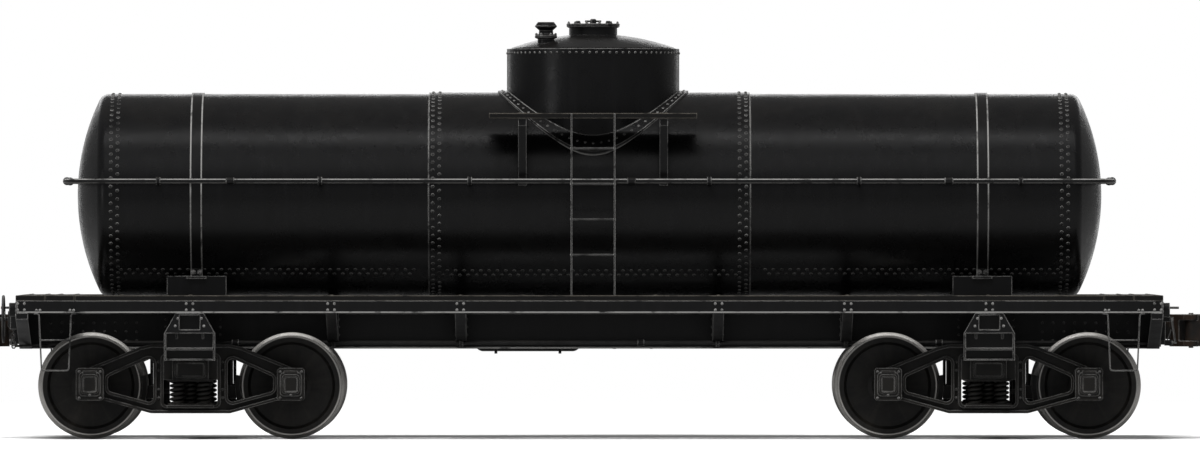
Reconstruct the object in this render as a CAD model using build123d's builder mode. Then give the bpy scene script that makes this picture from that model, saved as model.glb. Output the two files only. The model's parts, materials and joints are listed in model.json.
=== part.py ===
from build123d import *
from math import asin, cos, degrees, radians, sin, sqrt, tan
import os

# Railway tank car for acid, standing on its wheel flanges, in millimetres.
# +X runs along the car towards its A end, +Y to its left side and +Z up.
# The origin is on the floor under the middle of the car. Right-hand pieces lie at -Y.

os.makedirs("parts", exist_ok=True)

# Wheels and axles. The rail's top is one flange height above the floor.
tread_radius = 419.1
flange_height = 25.4
wheel_back = 677.9
rim_width = 146.0
rim_depth = 55.0
hub_radius = 124.0
hub_length = 178.0
plate_thickness = 26.0
wheel_seat_radius = 82.5
axle_waist_radius = 68.0
journal_radius = 63.5
journal_middle = 965.0
journal_length = 225.0
running_clearance = 0.1
fit_gap = 0.2
wheel_radius = tread_radius + flange_height
axle_z = wheel_radius
rail_z = flange_height

# Trucks
truck_centres = 6655.0
wheelbase = 1676.4
side_frame_width = 140.0
side_frame_web = 44.0
side_frame_rim = 24.0
side_frame_rise = 345.0
side_frame_drop = 229.0
box_half_length = 115.0
box_rise = 150.0
box_drop = 122.0
box_inner = 850.0
box_outer = 1132.0
spring_seat_drop = 160.0
spring_height = 210.0
spring_radius = 64.0
spring_pitch_x = 220.0
spring_pitch_y = 148.0
seat_thickness = 24.0
bolster_window_half = 225.0
bolster_half_width = 150.0
centre_plate_height = 660.0
centre_plate_radius = 152.0
bowl_wall = 36.0
bowl_rim = 20.0
kingpin_radius = 22.0
side_bearing_y = 635.0
side_bearing_gap = 6.0
side_bearing_height = 50.0
bowl_gap = 6.0
truck_x = truck_centres / 2
centre_plate_z = rail_z + centre_plate_height
side_bearing_z = centre_plate_z - bowl_rim + side_bearing_height

# Underframe
frame_length = 9550.0
frame_width = 2743.0
coupler_height = 876.3
sill_depth = 304.8
sill_inside = 327.0
sill_web = 10.0
sill_flange = 76.0
sill_flange_thickness = 12.0
cover_plate = 12.7
side_sill_depth = 101.6
side_sill_flange = 42.0
side_sill_web = 8.0
end_sill_web = 13.0
end_sill_flange = 90.0
plank_thickness = 44.5
plank_width = 241.0
plank_gap = 6.0
frame_half = frame_length / 2
side_y = frame_width / 2
coupler_z = rail_z + coupler_height
sill_bottom_z = coupler_z - sill_depth / 2
sill_top_z = coupler_z + sill_depth / 2
plank_bottom_z = sill_top_z + side_sill_depth
deck_z = plank_bottom_z + plank_thickness
board_width = 2 * plank_width + plank_gap
sill_outer = sill_inside / 2 + sill_flange

# Tank: three riveted rings, the middle one lapped outside the two end ones
tank_radius = 850.9
shell_plate = 12.7
shell_length = 8070.0
middle_ring_length = 2690.0
crown_radius = 1828.8
knuckle_radius = 89.0
tank_rise = 119.0
ring_radius = tank_radius + shell_plate
tank_z = sill_top_z + tank_rise + ring_radius
shell_half = shell_length / 2
seam_x = middle_ring_length / 2

# Dome and manway
dome_x = 30.0
dome_radius = 723.9
dome_wall = 15.9
dome_height = 365.0
dome_foot_width = 75.0
dome_foot_thickness = 16.0
dome_crown_radius = 2050.0
dome_knuckle = 40.0
dome_rise = 127.0
dome_skirt = 85.0
head_plate = 14.0
manway_radius = 202.0
manway_wall = 16.0
manway_rise = 70.0
manway_flange = 20.0
manway_flange_thickness = 12.0
cover_thickness = 16.0
dome_top_z = tank_z + ring_radius + dome_height
crown_z = dome_top_z + dome_rise
manway_top_z = crown_z + manway_rise

# Tank bands and saddles stand a little inboard of the truck centres.
saddle_inset = 40.0
saddle_length = 497.0
saddle_rise = 160.0
saddle_wall = 22.0
band_width = 102.0
band_thickness = 10.0
saddle_x = truck_x - saddle_inset
saddle_bottom_z = sill_top_z + cover_plate
saddle_top_z = deck_z + saddle_rise
saddle_seat_y = sqrt(tank_radius**2 - (tank_z - saddle_top_z) ** 2)
saddle_half_width = saddle_seat_y + 70.0

# Platforms, ladders and handrail
platform_length = 1734.0
platform_width = 336.0
platform_rise = 683.0
platform_gap = 36.0
ladder_width = 374.0
ladder_stile = 50.0
stile_thickness = 14.0
rung_pitch = 296.0
rung_count = 4
rung_radius = 11.0
handrail_radius = 21.0
handrail_rise = 117.0
handrail_gap = 90.0
handrail_end_gap = 57.0
handrail_corner = 300.0
platform_z = tank_z + platform_rise
handrail_z = tank_z + handrail_rise
handrail_y = ring_radius + handrail_gap
platform_foot = platform_rise - plank_thickness
reach_at_platform = sqrt(max(ring_radius**2 - platform_foot**2, 0.0))
platform_inner = max(dome_radius, reach_at_platform) + platform_gap
platform_outer = platform_inner + platform_width


def finish(piece, label):
    piece.part.label = label
    export_step(piece.part, f"parts/{label}.step")


def finish_twins(piece, labels, about):
    """Writes a piece under its first label and its mirror image under the second."""
    finish(piece, labels[0])
    with BuildPart() as twin:
        add(piece.part)
        mirror(about=about, mode=Mode.REPLACE)
    finish(twin, labels[1])


def finish_pair(piece, label, about):
    """Writes a piece and its mirror image together."""
    with BuildPart() as pair:
        add(piece.part)
        mirror(about=about)
    finish(pair, label)


def finish_turned(piece, labels):
    """Writes a piece under its first label and the same piece at the other end under the second."""
    finish(piece, labels[0])
    with BuildPart() as turned:
        with Locations(Location((0, 0, 0), (0, 0, 180))):
            add(piece.part)
    finish(turned, labels[1])


def side_plane(x, y=0.0, z=0.0):
    """An upright plane along the car at x and y: its own x runs towards the A end, its y upwards from z."""
    return Plane(origin=(x, y, z), x_dir=(1, 0, 0), z_dir=(0, -1, 0))


def both_halves(points):
    """A symmetric outline from the points of its half at positive x, listed from top to bottom."""
    return points + [(-x, z) for x, z in reversed(points)]


def along_car(x, y, z):
    """A place at which a round solid's own axis lies along the car."""
    return Location((x, y, z), (0, 90, 0))


def across_car(x, y, z):
    """A place at which a round solid's own axis lies across the car."""
    return Location((x, y, z), (90, 0, 0))


# The tank: a turned solid with dished ends whose crowns run into small knuckles
crown_angle = degrees(asin((tank_radius - knuckle_radius) / (crown_radius - knuckle_radius)))
crown_reach = (crown_radius - knuckle_radius) * cos(radians(crown_angle))
head_depth = crown_radius - crown_reach
apex_x = shell_half + head_depth
shoulder = tank_radius - knuckle_radius
with BuildPart() as tank:
    with BuildSketch(side_plane(0, 0, tank_z)):
        with BuildLine():
            for sign in (-1, 1):
                crown_start = 90 - sign * 90
                knuckle_turn = sign * (90 - crown_angle)
                CenterArc((sign * (apex_x - crown_radius), 0), crown_radius, crown_start, sign * crown_angle)
                CenterArc((sign * shell_half, shoulder), knuckle_radius, 90 - knuckle_turn, knuckle_turn)
            Polyline(
                (-shell_half, tank_radius),
                (-seam_x, tank_radius),
                (-seam_x, ring_radius),
                (seam_x, ring_radius),
                (seam_x, tank_radius),
                (shell_half, tank_radius),
            )
            Line((-apex_x, 0), (apex_x, 0))
        make_face()
    revolve(axis=Axis((0, 0, tank_z), (1, 0, 0)))
finish(tank, "tank")

# The dome's shell, whose foot is flanged to the round of the tank and riveted to it
with BuildPart() as dome_foot:
    with BuildSketch(Plane.XY.offset(tank_z)):
        with Locations((dome_x, 0)):
            Circle(dome_radius + dome_foot_width)
    extrude(amount=2 * ring_radius)
    with Locations(along_car(dome_x, 0, tank_z)):
        Cylinder(ring_radius + dome_foot_thickness, 3 * ring_radius, mode=Mode.INTERSECT)
with BuildPart() as dome:
    with BuildSketch(Plane.XY.offset(tank_z)):
        with Locations((dome_x, 0)):
            Circle(dome_radius)
    extrude(amount=dome_top_z - tank_z)
    add(dome_foot.part)
    with BuildSketch(Plane.XY.offset(tank_z)):
        with Locations((dome_x, 0)):
            Circle(dome_radius - dome_wall)
    extrude(amount=dome_top_z - tank_z, mode=Mode.SUBTRACT)
    with Locations(along_car(dome_x, 0, tank_z)):
        Cylinder(ring_radius + fit_gap, 3 * ring_radius, mode=Mode.SUBTRACT)
finish(dome, "dome")

# The dome's dished head, whose skirt is let into the top of the shell
skirt_radius = dome_radius - dome_wall - fit_gap
dome_crown_angle = degrees(asin((skirt_radius - dome_knuckle) / (dome_crown_radius - dome_knuckle)))
dome_centre_z = crown_z - dome_crown_radius
knuckle_z = dome_centre_z + (dome_crown_radius - dome_knuckle) * cos(radians(dome_crown_angle))
manway_hole = manway_radius + fit_gap
with BuildPart() as dome_head:
    with BuildSketch(side_plane(dome_x)):
        with BuildLine():
            rims = []
            for inset in (0, head_plate):
                dish = dome_crown_radius - inset
                hole_angle = degrees(asin(manway_hole / dish))
                crown = CenterArc((0, dome_centre_z), dish, 90 - hole_angle, hole_angle - dome_crown_angle)
                bend_place = (skirt_radius - dome_knuckle, knuckle_z)
                CenterArc(bend_place, dome_knuckle - inset, 90 - dome_crown_angle, dome_crown_angle - 90)
                Line((skirt_radius - inset, knuckle_z), (skirt_radius - inset, knuckle_z - dome_skirt))
                rims.append(crown @ 0)
            Line((skirt_radius, knuckle_z - dome_skirt), (skirt_radius - head_plate, knuckle_z - dome_skirt))
            Line(rims[0], rims[1])
        make_face()
    revolve(axis=Axis((dome_x, 0, 0), (0, 0, 1)))
finish(dome_head, "dome_head")

# The manway's neck with its flange, let into the dome's head
neck_skirt = 30.0
neck_bottom_z = crown_z - head_plate - neck_skirt
with BuildPart() as manway_neck:
    with BuildSketch(Plane.XY.offset(neck_bottom_z)):
        with Locations((dome_x, 0)):
            Circle(manway_radius)
    extrude(amount=manway_top_z - neck_bottom_z)
    with BuildSketch(Plane.XY.offset(manway_top_z)):
        with Locations((dome_x, 0)):
            Circle(manway_radius + manway_flange)
    extrude(amount=-manway_flange_thickness)
    with BuildSketch(Plane.XY.offset(neck_bottom_z)):
        with Locations((dome_x, 0)):
            Circle(manway_radius - manway_wall)
    extrude(amount=manway_top_z - neck_bottom_z, mode=Mode.SUBTRACT)
finish(manway_neck, "manway_neck")

# The cover's hinge on the far side of the neck: two ears under the flange and a pin between them
ear_thickness = 16.0
ear_spread = 92.0
ear_radius = 20.0
hinge_radius = 9.0
hinge_y = manway_radius + manway_flange + 30.0
hinge_z = manway_top_z + cover_thickness / 2
ear_foot_z = manway_top_z - 60.0
ear_shoulder_z = manway_top_z - manway_flange_thickness - fit_gap
flange_edge = manway_radius + manway_flange + fit_gap
with BuildPart() as manway_hinge:
    for sign in (-1, 1):
        with BuildSketch(Plane.YZ.offset(dome_x + sign * ear_spread / 2 - ear_thickness / 2)):
            with Locations((hinge_y, hinge_z)):
                Circle(ear_radius)
            Polygon(
                (manway_radius - manway_wall, ear_foot_z),
                (manway_radius - manway_wall, ear_shoulder_z),
                (flange_edge, ear_shoulder_z),
                (flange_edge, hinge_z),
                (hinge_y + ear_radius * 0.8, hinge_z - ear_radius * 0.6),
                align=None,
            )
        extrude(amount=ear_thickness)
    with Locations(along_car(dome_x, hinge_y, hinge_z)):
        Cylinder(hinge_radius, ear_spread + ear_thickness)
    with Locations((dome_x, 0, manway_top_z)):
        Cylinder(manway_radius + fit_gap, manway_top_z, mode=Mode.SUBTRACT)
        Cylinder(flange_edge, 2 * ear_radius, mode=Mode.SUBTRACT)
finish(manway_hinge, "manway_hinge")

# The manway's cover, a round plate with a thicker middle and a hinge tongue between the ears
tongue_half = ear_spread / 2 - ear_thickness / 2 - 5.0
with BuildPart() as manway_cover:
    with BuildSketch(Plane.XY.offset(manway_top_z)):
        with Locations((dome_x, 0)):
            Circle(manway_radius + manway_flange + 2.0)
    extrude(amount=cover_thickness)
    chamfer(manway_cover.edges().group_by(Axis.Z)[-1], 4.0)
    with BuildSketch(Plane.YZ.offset(dome_x - tongue_half)):
        with Locations((hinge_y, hinge_z)):
            Circle(cover_thickness / 2 + 8.0)
        tongue_middle = (hinge_y + manway_radius) / 2
        with Locations((tongue_middle, hinge_z)):
            Rectangle(hinge_y - manway_radius, cover_thickness)
        with Locations((hinge_y, hinge_z)):
            Circle(hinge_radius + running_clearance, mode=Mode.SUBTRACT)
    extrude(amount=2 * tongue_half)
finish(manway_cover, "manway_cover")

# Fittings on the cover: a T handle in the middle and a capped valve on each side of it
handle_height = 40.0
handle_length = 137.0
cap_spacing = 252.0
cap_radius = 25.0
cap_height = 24.0
cover_top_z = manway_top_z + cover_thickness
with BuildPart() as cover_fittings:
    with BuildSketch(Plane.XY.offset(cover_top_z)):
        with Locations((dome_x, 0)):
            RegularPolygon(26.0, 6)
    extrude(amount=handle_height)
    chamfer(cover_fittings.edges().group_by(Axis.Z)[-1], 8.0)
    with Locations(along_car(dome_x, 0, cover_top_z + handle_height / 2)):
        Cylinder(8.0, handle_length)
    with BuildSketch(Plane.XY.offset(cover_top_z)):
        with Locations((dome_x, 0)):
            with GridLocations(cap_spacing, 1, 2, 1):
                Circle(cap_radius)
    extrude(amount=cap_height, taper=20)
finish(cover_fittings, "cover_fittings")

# The safety valve on the dome's head, waisted between its foot and its hexagonal bonnet
valve_x = dome_x - 395.0
valve_y = -360.0
valve_outline = [
    (0, -42.0),
    (70, -42.0),
    (70, 24.0),
    (93, 34.0),
    (93, 50.0),
    (62, 66.0),
    (58, 96.0),
    (92, 126.0),
    (92, 134.0),
    (68, 166.0),
    (0, 166.0),
]
valve_reach = sqrt((valve_x - dome_x) ** 2 + valve_y**2)
valve_foot_z = dome_centre_z + sqrt(dome_crown_radius**2 - valve_reach**2)
with BuildPart() as safety_valve:
    with BuildSketch(side_plane(valve_x, valve_y)):
        Polygon(*[(r, valve_foot_z + z) for r, z in valve_outline], align=None)
    revolve(axis=Axis((valve_x, valve_y, 0), (0, 0, 1)))
    with Locations((dome_x, 0, dome_centre_z)):
        Sphere(dome_crown_radius + fit_gap, mode=Mode.SUBTRACT)
finish(safety_valve, "safety_valve")

# Saddles: cast cradles on the bolsters, pocketed from both ends, with the tank's round cut into them
saddle_height = saddle_top_z - saddle_bottom_z
pocket_depth = (saddle_length - saddle_wall) / 2
pocket_width = (2 * saddle_half_width - 4 * saddle_wall) / 3
ledge_y = saddle_half_width + 30.0
with BuildPart() as saddle_pockets:
    pocket_height = saddle_height - 2 * saddle_wall
    for sign in (-1, 1):
        pocket_x = saddle_x + sign * (saddle_wall + pocket_depth) / 2
        with Locations((pocket_x, 0, saddle_bottom_z + saddle_height / 2)):
            with GridLocations(1, pocket_width + saddle_wall, 1, 3):
                Box(pocket_depth, pocket_width, pocket_height)
    with Locations(along_car(saddle_x, 0, tank_z)):
        Cylinder(tank_radius + saddle_wall, 2 * saddle_length, mode=Mode.SUBTRACT)
with BuildPart() as saddle:
    with Locations((saddle_x, 0, saddle_bottom_z + saddle_height / 2)):
        Box(saddle_length, 2 * saddle_half_width, saddle_height)
    with Locations((saddle_x, 0, saddle_top_z - saddle_wall / 2)):
        Box(band_width + 60.0, 2 * ledge_y, saddle_wall)
    with Locations(along_car(saddle_x, 0, tank_z)):
        Cylinder(tank_radius + fit_gap, 2 * saddle_length, mode=Mode.SUBTRACT)
    add(saddle_pockets.part, mode=Mode.SUBTRACT)
finish_pair(saddle, "saddles", Plane.YZ)

# Tank bands: straps over the tank between the saddles' ledges, with an angle foot at each end
foot_length = 78.0
foot_height = 90.0
with BuildPart() as tank_band:
    with BuildSketch(Plane.YZ.offset(saddle_x - band_width / 2)):
        with Locations((0, tank_z)):
            Circle(tank_radius + fit_gap + band_thickness)
        strap_bottom = tank_z - tank_radius - 2 * band_thickness
        with Locations((0, (strap_bottom + saddle_top_z) / 2)):
            Rectangle(3 * tank_radius, saddle_top_z - strap_bottom, mode=Mode.SUBTRACT)
        for sign in (-1, 1):
            foot_edge = sign * (saddle_seat_y + foot_length)
            Polygon(
                (0, saddle_top_z),
                (foot_edge, saddle_top_z),
                (foot_edge, saddle_top_z + band_thickness),
                (sign * (saddle_seat_y + foot_height), saddle_top_z + foot_height),
                (0, saddle_top_z + foot_height),
                align=None,
            )
        with Locations((0, tank_z)):
            Circle(tank_radius + fit_gap, mode=Mode.SUBTRACT)
    extrude(amount=band_width)
finish_pair(tank_band, "tank_bands", Plane.YZ)

# The anchor casting that holds the tank to the centre sill at mid-length
anchor_length = 900.0
anchor_width = 400.0
with BuildPart() as tank_anchor:
    with Locations((0, 0, saddle_bottom_z + tank_rise)):
        Box(anchor_length, anchor_width, 2 * tank_rise)
    with Locations(along_car(0, 0, tank_z)):
        Cylinder(ring_radius + fit_gap, 2 * anchor_length, mode=Mode.SUBTRACT)
    with BuildSketch(Plane.XY.offset(saddle_bottom_z)):
        with GridLocations(anchor_length / 3, anchor_width / 2, 3, 2):
            RectangleRounded(anchor_length / 3 - 2 * saddle_wall, anchor_width / 2 - 2 * saddle_wall, 20.0)
    extrude(amount=tank_rise - 50.0, mode=Mode.SUBTRACT)
finish(tank_anchor, "tank_anchor")

# Centre sill: two channels with the draft gear's space between them, closed by a cover plate
sill_half_length = frame_half - end_sill_web
with BuildPart() as centre_sill:
    with BuildSketch(Plane.YZ.offset(-sill_half_length)):
        for sign in (-1, 1):
            with Locations((sign * (sill_inside + sill_web) / 2, coupler_z)):
                Rectangle(sill_web, sill_depth)
            with Locations((sign * (sill_inside + sill_flange) / 2, coupler_z)):
                with GridLocations(1, sill_depth - sill_flange_thickness, 1, 2):
                    Rectangle(sill_flange, sill_flange_thickness)
        with Locations((0, sill_top_z + cover_plate / 2)):
            Rectangle(2 * sill_outer, cover_plate)
    extrude(amount=2 * sill_half_length)
finish(centre_sill, "centre_sill")

# Side sills: channels with their flanges turned inwards
with BuildPart() as side_sill:
    with BuildSketch(Plane.YZ.offset(-sill_half_length)):
        with Locations((side_y - side_sill_flange / 2, sill_top_z + side_sill_depth / 2)):
            with GridLocations(1, side_sill_depth - side_sill_web, 1, 2):
                Rectangle(side_sill_flange, side_sill_web)
        with Locations((side_y - side_sill_web / 2, sill_top_z + side_sill_depth / 2)):
            Rectangle(side_sill_web, side_sill_depth)
    extrude(amount=2 * sill_half_length)
finish_pair(side_sill, "side_sills", Plane.XZ)

# End sills: pressed plates with a turned rim, deepest at the middle where the striker stands
end_sill_shoulder = 420.0
end_sill_corner_drop = 54.0
opening_width = 250.0
opening_rise = 110.0
shank_height = 150.0
carrier_gap = 0.3
striker_depth = 60.0
striker_wall = 40.0
pocket_y = 1180.0
pocket_z = sill_top_z + 26.0
striker_width = opening_width + 2 * striker_wall
striker_x = frame_half + striker_depth
opening_bottom = coupler_z - shank_height / 2 - carrier_gap
opening_height = coupler_z + opening_rise - opening_bottom
opening_middle = (0, opening_bottom + opening_height / 2)
end_sill_half = [
    (side_y, plank_bottom_z),
    (side_y, sill_top_z - end_sill_corner_drop),
    (end_sill_shoulder, sill_bottom_z),
]
with BuildPart() as end_sill:
    with BuildSketch(Plane.YZ.offset(sill_half_length)):
        Polygon(*both_halves(end_sill_half), align=None)
    extrude(amount=end_sill_web)
    with BuildSketch(Plane.YZ.offset(sill_half_length)):
        Polygon(*both_halves(end_sill_half), align=None)
        offset(amount=-end_sill_web, mode=Mode.SUBTRACT)
    extrude(amount=-end_sill_flange)
    with BuildSketch(Plane.YZ.offset(sill_half_length)):
        with Locations((0, coupler_z)):
            Rectangle(2 * sill_outer + 2 * fit_gap, sill_depth + 2 * cover_plate + 2 * fit_gap)
        for sign in (-1, 1):
            with Locations((sign * (side_y - side_sill_flange / 2), sill_top_z + side_sill_depth / 2)):
                Rectangle(side_sill_flange + 2 * fit_gap, side_sill_depth + 2 * fit_gap)
    extrude(amount=-end_sill_flange, mode=Mode.SUBTRACT)
    with BuildSketch(Plane.YZ.offset(frame_half)):
        with Locations(opening_middle):
            RectangleRounded(striker_width, opening_height + 2 * striker_wall, striker_wall)
        for sign in (-1, 1):
            with Locations((sign * pocket_y, pocket_z)):
                Circle(58.0)
    extrude(amount=striker_depth)
    with BuildSketch(Plane.YZ.offset(striker_x)):
        with Locations(opening_middle):
            Rectangle(opening_width, opening_height)
    extrude(amount=-striker_depth - end_sill_web, mode=Mode.SUBTRACT)
    with BuildSketch(Plane.YZ.offset(striker_x)):
        for sign in (-1, 1):
            with Locations((sign * pocket_y, pocket_z)):
                Circle(42.0)
    extrude(amount=-striker_depth * 0.7, mode=Mode.SUBTRACT)
finish_pair(end_sill, "end_sills", Plane.YZ)

# Cross-bearers between the sills, tapering outwards, with a turned rim
bearer_places = (1075.0, 2150.0)
bearer_web = 10.0
bearer_flange = 90.0
bearer_drop = 30.0
rod_y = 290.0
rod_hole_radius = 26.0
bearer_half = [
    (side_y - side_sill_flange - fit_gap, plank_bottom_z),
    (side_y - side_sill_flange - fit_gap, sill_top_z),
    (sill_outer + fit_gap, sill_bottom_z + bearer_drop),
    (sill_outer + fit_gap, saddle_bottom_z + fit_gap),
]
with BuildPart() as crossbearer:
    for place in bearer_places:
        with BuildSketch(Plane.YZ.offset(place)):
            Polygon(*both_halves(bearer_half), align=None)
        extrude(amount=bearer_web / 2, both=True)
        with BuildSketch(Plane.YZ.offset(place)):
            Polygon(*both_halves(bearer_half), align=None)
            offset(amount=-bearer_web, mode=Mode.SUBTRACT)
        extrude(amount=bearer_flange / 2, both=True)
        with BuildSketch(Plane.YZ.offset(place)):
            with Locations((rod_y, coupler_z)):
                Circle(rod_hole_radius)
        extrude(amount=bearer_web, both=True, mode=Mode.SUBTRACT)
finish_pair(crossbearer, "crossbearers", Plane.YZ)

# Body bolsters: two webs and their plates on each side of the centre sill, with deep cast ends
bolster_half_length = 175.0
bolster_web = 16.0
bolster_web_spacing = 220.0
bolster_step_y = 860.0
bolster_step_z = 840.0
bolster_end_y = 1195.0
bolster_end_bottom = 658.0
bearing_pad_length = 120.0
bearing_pad_width = 90.0
end_pocket_depth = 60.0
kingpin_bottom_z = centre_plate_z - 125.0
plate_bottom_z = sill_bottom_z - cover_plate
bolster_reach = side_y - side_sill_flange - 10.0
bolster_start = sill_outer + fit_gap
pad_rise = (side_bearing_y - bolster_start) / (bolster_step_y - bolster_start)
pad_top_z = sill_bottom_z + pad_rise * (bolster_step_z - sill_bottom_z) - cover_plate / 2
pad_bottom_z = side_bearing_z + side_bearing_gap
end_casting_half = [
    (117.0, sill_top_z),
    (205.0, 897.0),
    (213.0, 885.0),
    (213.0, bolster_end_bottom),
]
# Each pocket in the end casting: its width, its bottom and its top
end_pockets = [
    (170.0, 915.0, 1036.0),
    (390.0, 763.0, 885.0),
    (390.0, 672.0, 745.0),
]
with BuildPart() as bolster_end:
    with BuildSketch(side_plane(truck_x, bolster_end_y)):
        Polygon(*both_halves(end_casting_half), align=None)
    extrude(amount=bolster_end_y - side_y)
    with BuildSketch(side_plane(truck_x, side_y)):
        for width, bottom, top in end_pockets:
            with Locations((0, (bottom + top) / 2)):
                Rectangle(width, top - bottom)
    extrude(amount=end_pocket_depth, mode=Mode.SUBTRACT)
with BuildPart() as body_bolster:
    for sign in (-1, 1):
        with BuildSketch(Plane.YZ.offset(truck_x + sign * bolster_web_spacing / 2)):
            for side in (-1, 1):
                Polygon(
                    (side * bolster_start, sill_top_z),
                    (side * bolster_reach, sill_top_z),
                    (side * bolster_reach, bolster_step_z),
                    (side * bolster_step_y, bolster_step_z),
                    (side * bolster_start, sill_bottom_z),
                    align=None,
                )
        extrude(amount=bolster_web / 2, both=True)
    with BuildSketch(Plane.YZ.offset(truck_x)):
        for side in (-1, 1):
            with Locations((side * (bolster_reach + bolster_start) / 2, sill_top_z + cover_plate / 2)):
                Rectangle(bolster_reach - bolster_start, cover_plate)
        plate_upper = [
            (bolster_end_y, bolster_step_z),
            (bolster_step_y, bolster_step_z),
            (bolster_start, sill_bottom_z),
        ]
        plate_lower = [(y, z - cover_plate) for y, z in plate_upper]
        Polygon(*both_halves(plate_lower), *reversed(both_halves(plate_upper)), align=None)
    extrude(amount=bolster_half_length, both=True)
    add(bolster_end.part)
    mirror(bolster_end.part, about=Plane.XZ)
    for side in (-1, 1):
        with Locations((truck_x, side * side_bearing_y, (pad_top_z + pad_bottom_z) / 2)):
            Box(bearing_pad_length, bearing_pad_width, pad_top_z - pad_bottom_z)
    with BuildSketch(Plane.XY.offset(plate_bottom_z)):
        with Locations((truck_x, 0)):
            Circle(centre_plate_radius)
    extrude(amount=centre_plate_z - plate_bottom_z)
    with BuildSketch(Plane.XY.offset(centre_plate_z)):
        with Locations((truck_x, 0)):
            Circle(kingpin_radius)
    extrude(amount=kingpin_bottom_z - centre_plate_z)
finish_pair(body_bolster, "body_bolsters", Plane.YZ)

# Running boards along both sides and platforms across both ends, each of two planks
plank_middle_z = plank_bottom_z + plank_thickness / 2
board_middle_y = side_y - board_width / 2
board_length = frame_length - 2 * board_width - 2 * plank_gap
with BuildPart() as running_boards:
    for side in (-1, 1):
        with Locations((0, side * board_middle_y, plank_middle_z)):
            with GridLocations(1, plank_width + plank_gap, 1, 2):
                Box(board_length, plank_width, plank_thickness)
    chamfer(running_boards.edges().filter_by(Axis.X).group_by(Axis.Z)[-1], 3.0)
finish(running_boards, "running_boards")
with BuildPart() as end_platforms:
    for end in (-1, 1):
        with Locations((end * (frame_half - board_width / 2), 0, plank_middle_z)):
            with GridLocations(plank_width + plank_gap, 1, 2, 1):
                Box(plank_width, frame_width, plank_thickness)
    chamfer(end_platforms.edges().filter_by(Axis.Y).group_by(Axis.Z)[-1], 3.0)
finish(end_platforms, "end_platforms")

# Dome platforms: two boards on each side of the dome
dome_board_width = (platform_width - plank_gap) / 2
platform_middle_y = platform_inner + platform_width / 2
platform_bottom_z = platform_z - plank_thickness
with BuildPart() as dome_platforms:
    for side in (-1, 1):
        with Locations((dome_x, side * platform_middle_y, platform_z - plank_thickness / 2)):
            with GridLocations(1, dome_board_width + plank_gap, 1, 2):
                Box(platform_length, dome_board_width, plank_thickness)
    chamfer(dome_platforms.edges().filter_by(Axis.X).group_by(Axis.Z)[-1], 3.0)
finish(dome_platforms, "dome_platforms")

# Their brackets: tapered webs with a turned rim, following the tank's round
bracket_spacing = 1180.0
bracket_web = 10.0
bracket_flange = 70.0
bracket_nose = 60.0
bracket_drop = 560.0
bracket_half = [
    (platform_inner - 190.0, platform_bottom_z),
    (platform_outer - 10.0, platform_bottom_z),
    (platform_outer - 10.0, platform_bottom_z - bracket_nose),
    (ring_radius, platform_bottom_z - bracket_drop),
    (ring_radius - 150.0, platform_bottom_z - bracket_drop),
]
with BuildPart() as platform_brackets:
    for place in (dome_x - bracket_spacing / 2, dome_x + bracket_spacing / 2):
        for side in (-1, 1):
            outline = [(side * y, z) for y, z in bracket_half]
            with BuildSketch(Plane.YZ.offset(place)):
                Polygon(*outline, align=None)
            extrude(amount=bracket_web / 2, both=True)
            with BuildSketch(Plane.YZ.offset(place)):
                Polygon(*outline, align=None)
                offset(amount=-bracket_web, mode=Mode.SUBTRACT)
            extrude(amount=bracket_flange / 2, both=True)
    with Locations(along_car(0, 0, tank_z)):
        Cylinder(ring_radius + fit_gap, frame_length, mode=Mode.SUBTRACT)
finish(platform_brackets, "platform_brackets")

# Ladders from the running boards to the outer edges of the dome platforms: flat stiles and round rungs
ladder_top_z = platform_z - 4.0
ladder_y = platform_outer + ladder_stile / 2
stile_inner = ladder_width - 2 * stile_thickness
with BuildPart() as ladders:
    for side in (-1, 1):
        with Locations((dome_x, side * ladder_y, (deck_z + ladder_top_z) / 2)):
            with GridLocations(ladder_width - stile_thickness, 1, 2, 1):
                Box(stile_thickness, ladder_stile, ladder_top_z - deck_z)
finish(ladders, "ladders")
with BuildPart() as ladder_rungs:
    for side in (-1, 1):
        for rung in range(1, rung_count + 1):
            with Locations(along_car(dome_x, side * ladder_y, platform_z - rung * rung_pitch)):
                Cylinder(rung_radius, stile_inner)
finish(ladder_rungs, "ladder_rungs")

# The handrail, one pipe all round the tank, and its posts on the shell
handrail_end_x = apex_x + handrail_end_gap + handrail_radius
half_rail = [(0, handrail_y), (handrail_end_x, handrail_y), (handrail_end_x, -handrail_y), (0, -handrail_y)]
with BuildPart() as handrail:
    with BuildLine(Plane.XY.offset(handrail_z)):
        FilletPolyline(*half_rail, radius=handrail_corner)
    with BuildSketch(Plane.YZ):
        with Locations((handrail_y, handrail_z)):
            Circle(handrail_radius)
    sweep()
    mirror(about=Plane.YZ)
finish(handrail, "handrail")

post_places = (1000.0, 2250.0, 3600.0)
end_post_y = 420.0
post_radius = 10.0
post_eye_radius = 34.0
post_eye_length = 36.0
post_end = sqrt(tank_radius**2 - handrail_rise**2) - 6.0
post_reach = sqrt(end_post_y**2 + handrail_rise**2)
head_x = apex_x - crown_radius + sqrt(crown_radius**2 - post_reach**2)
with BuildPart() as end_posts:
    for side in (-1, 1):
        with Locations(across_car(handrail_end_x, side * end_post_y, handrail_z)):
            Cylinder(post_eye_radius, post_eye_length)
        with Locations(along_car((head_x + handrail_end_x) / 2, side * end_post_y, handrail_z)):
            Cylinder(post_radius, handrail_end_x - head_x)
    with Locations(across_car(handrail_end_x, 0, handrail_z)):
        Cylinder(handrail_radius + fit_gap, 2 * end_post_y + 2 * post_eye_length, mode=Mode.SUBTRACT)
    with Locations((apex_x - crown_radius, 0, tank_z)):
        Sphere(crown_radius + fit_gap, mode=Mode.SUBTRACT)
    mirror(about=Plane.YZ)
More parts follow.
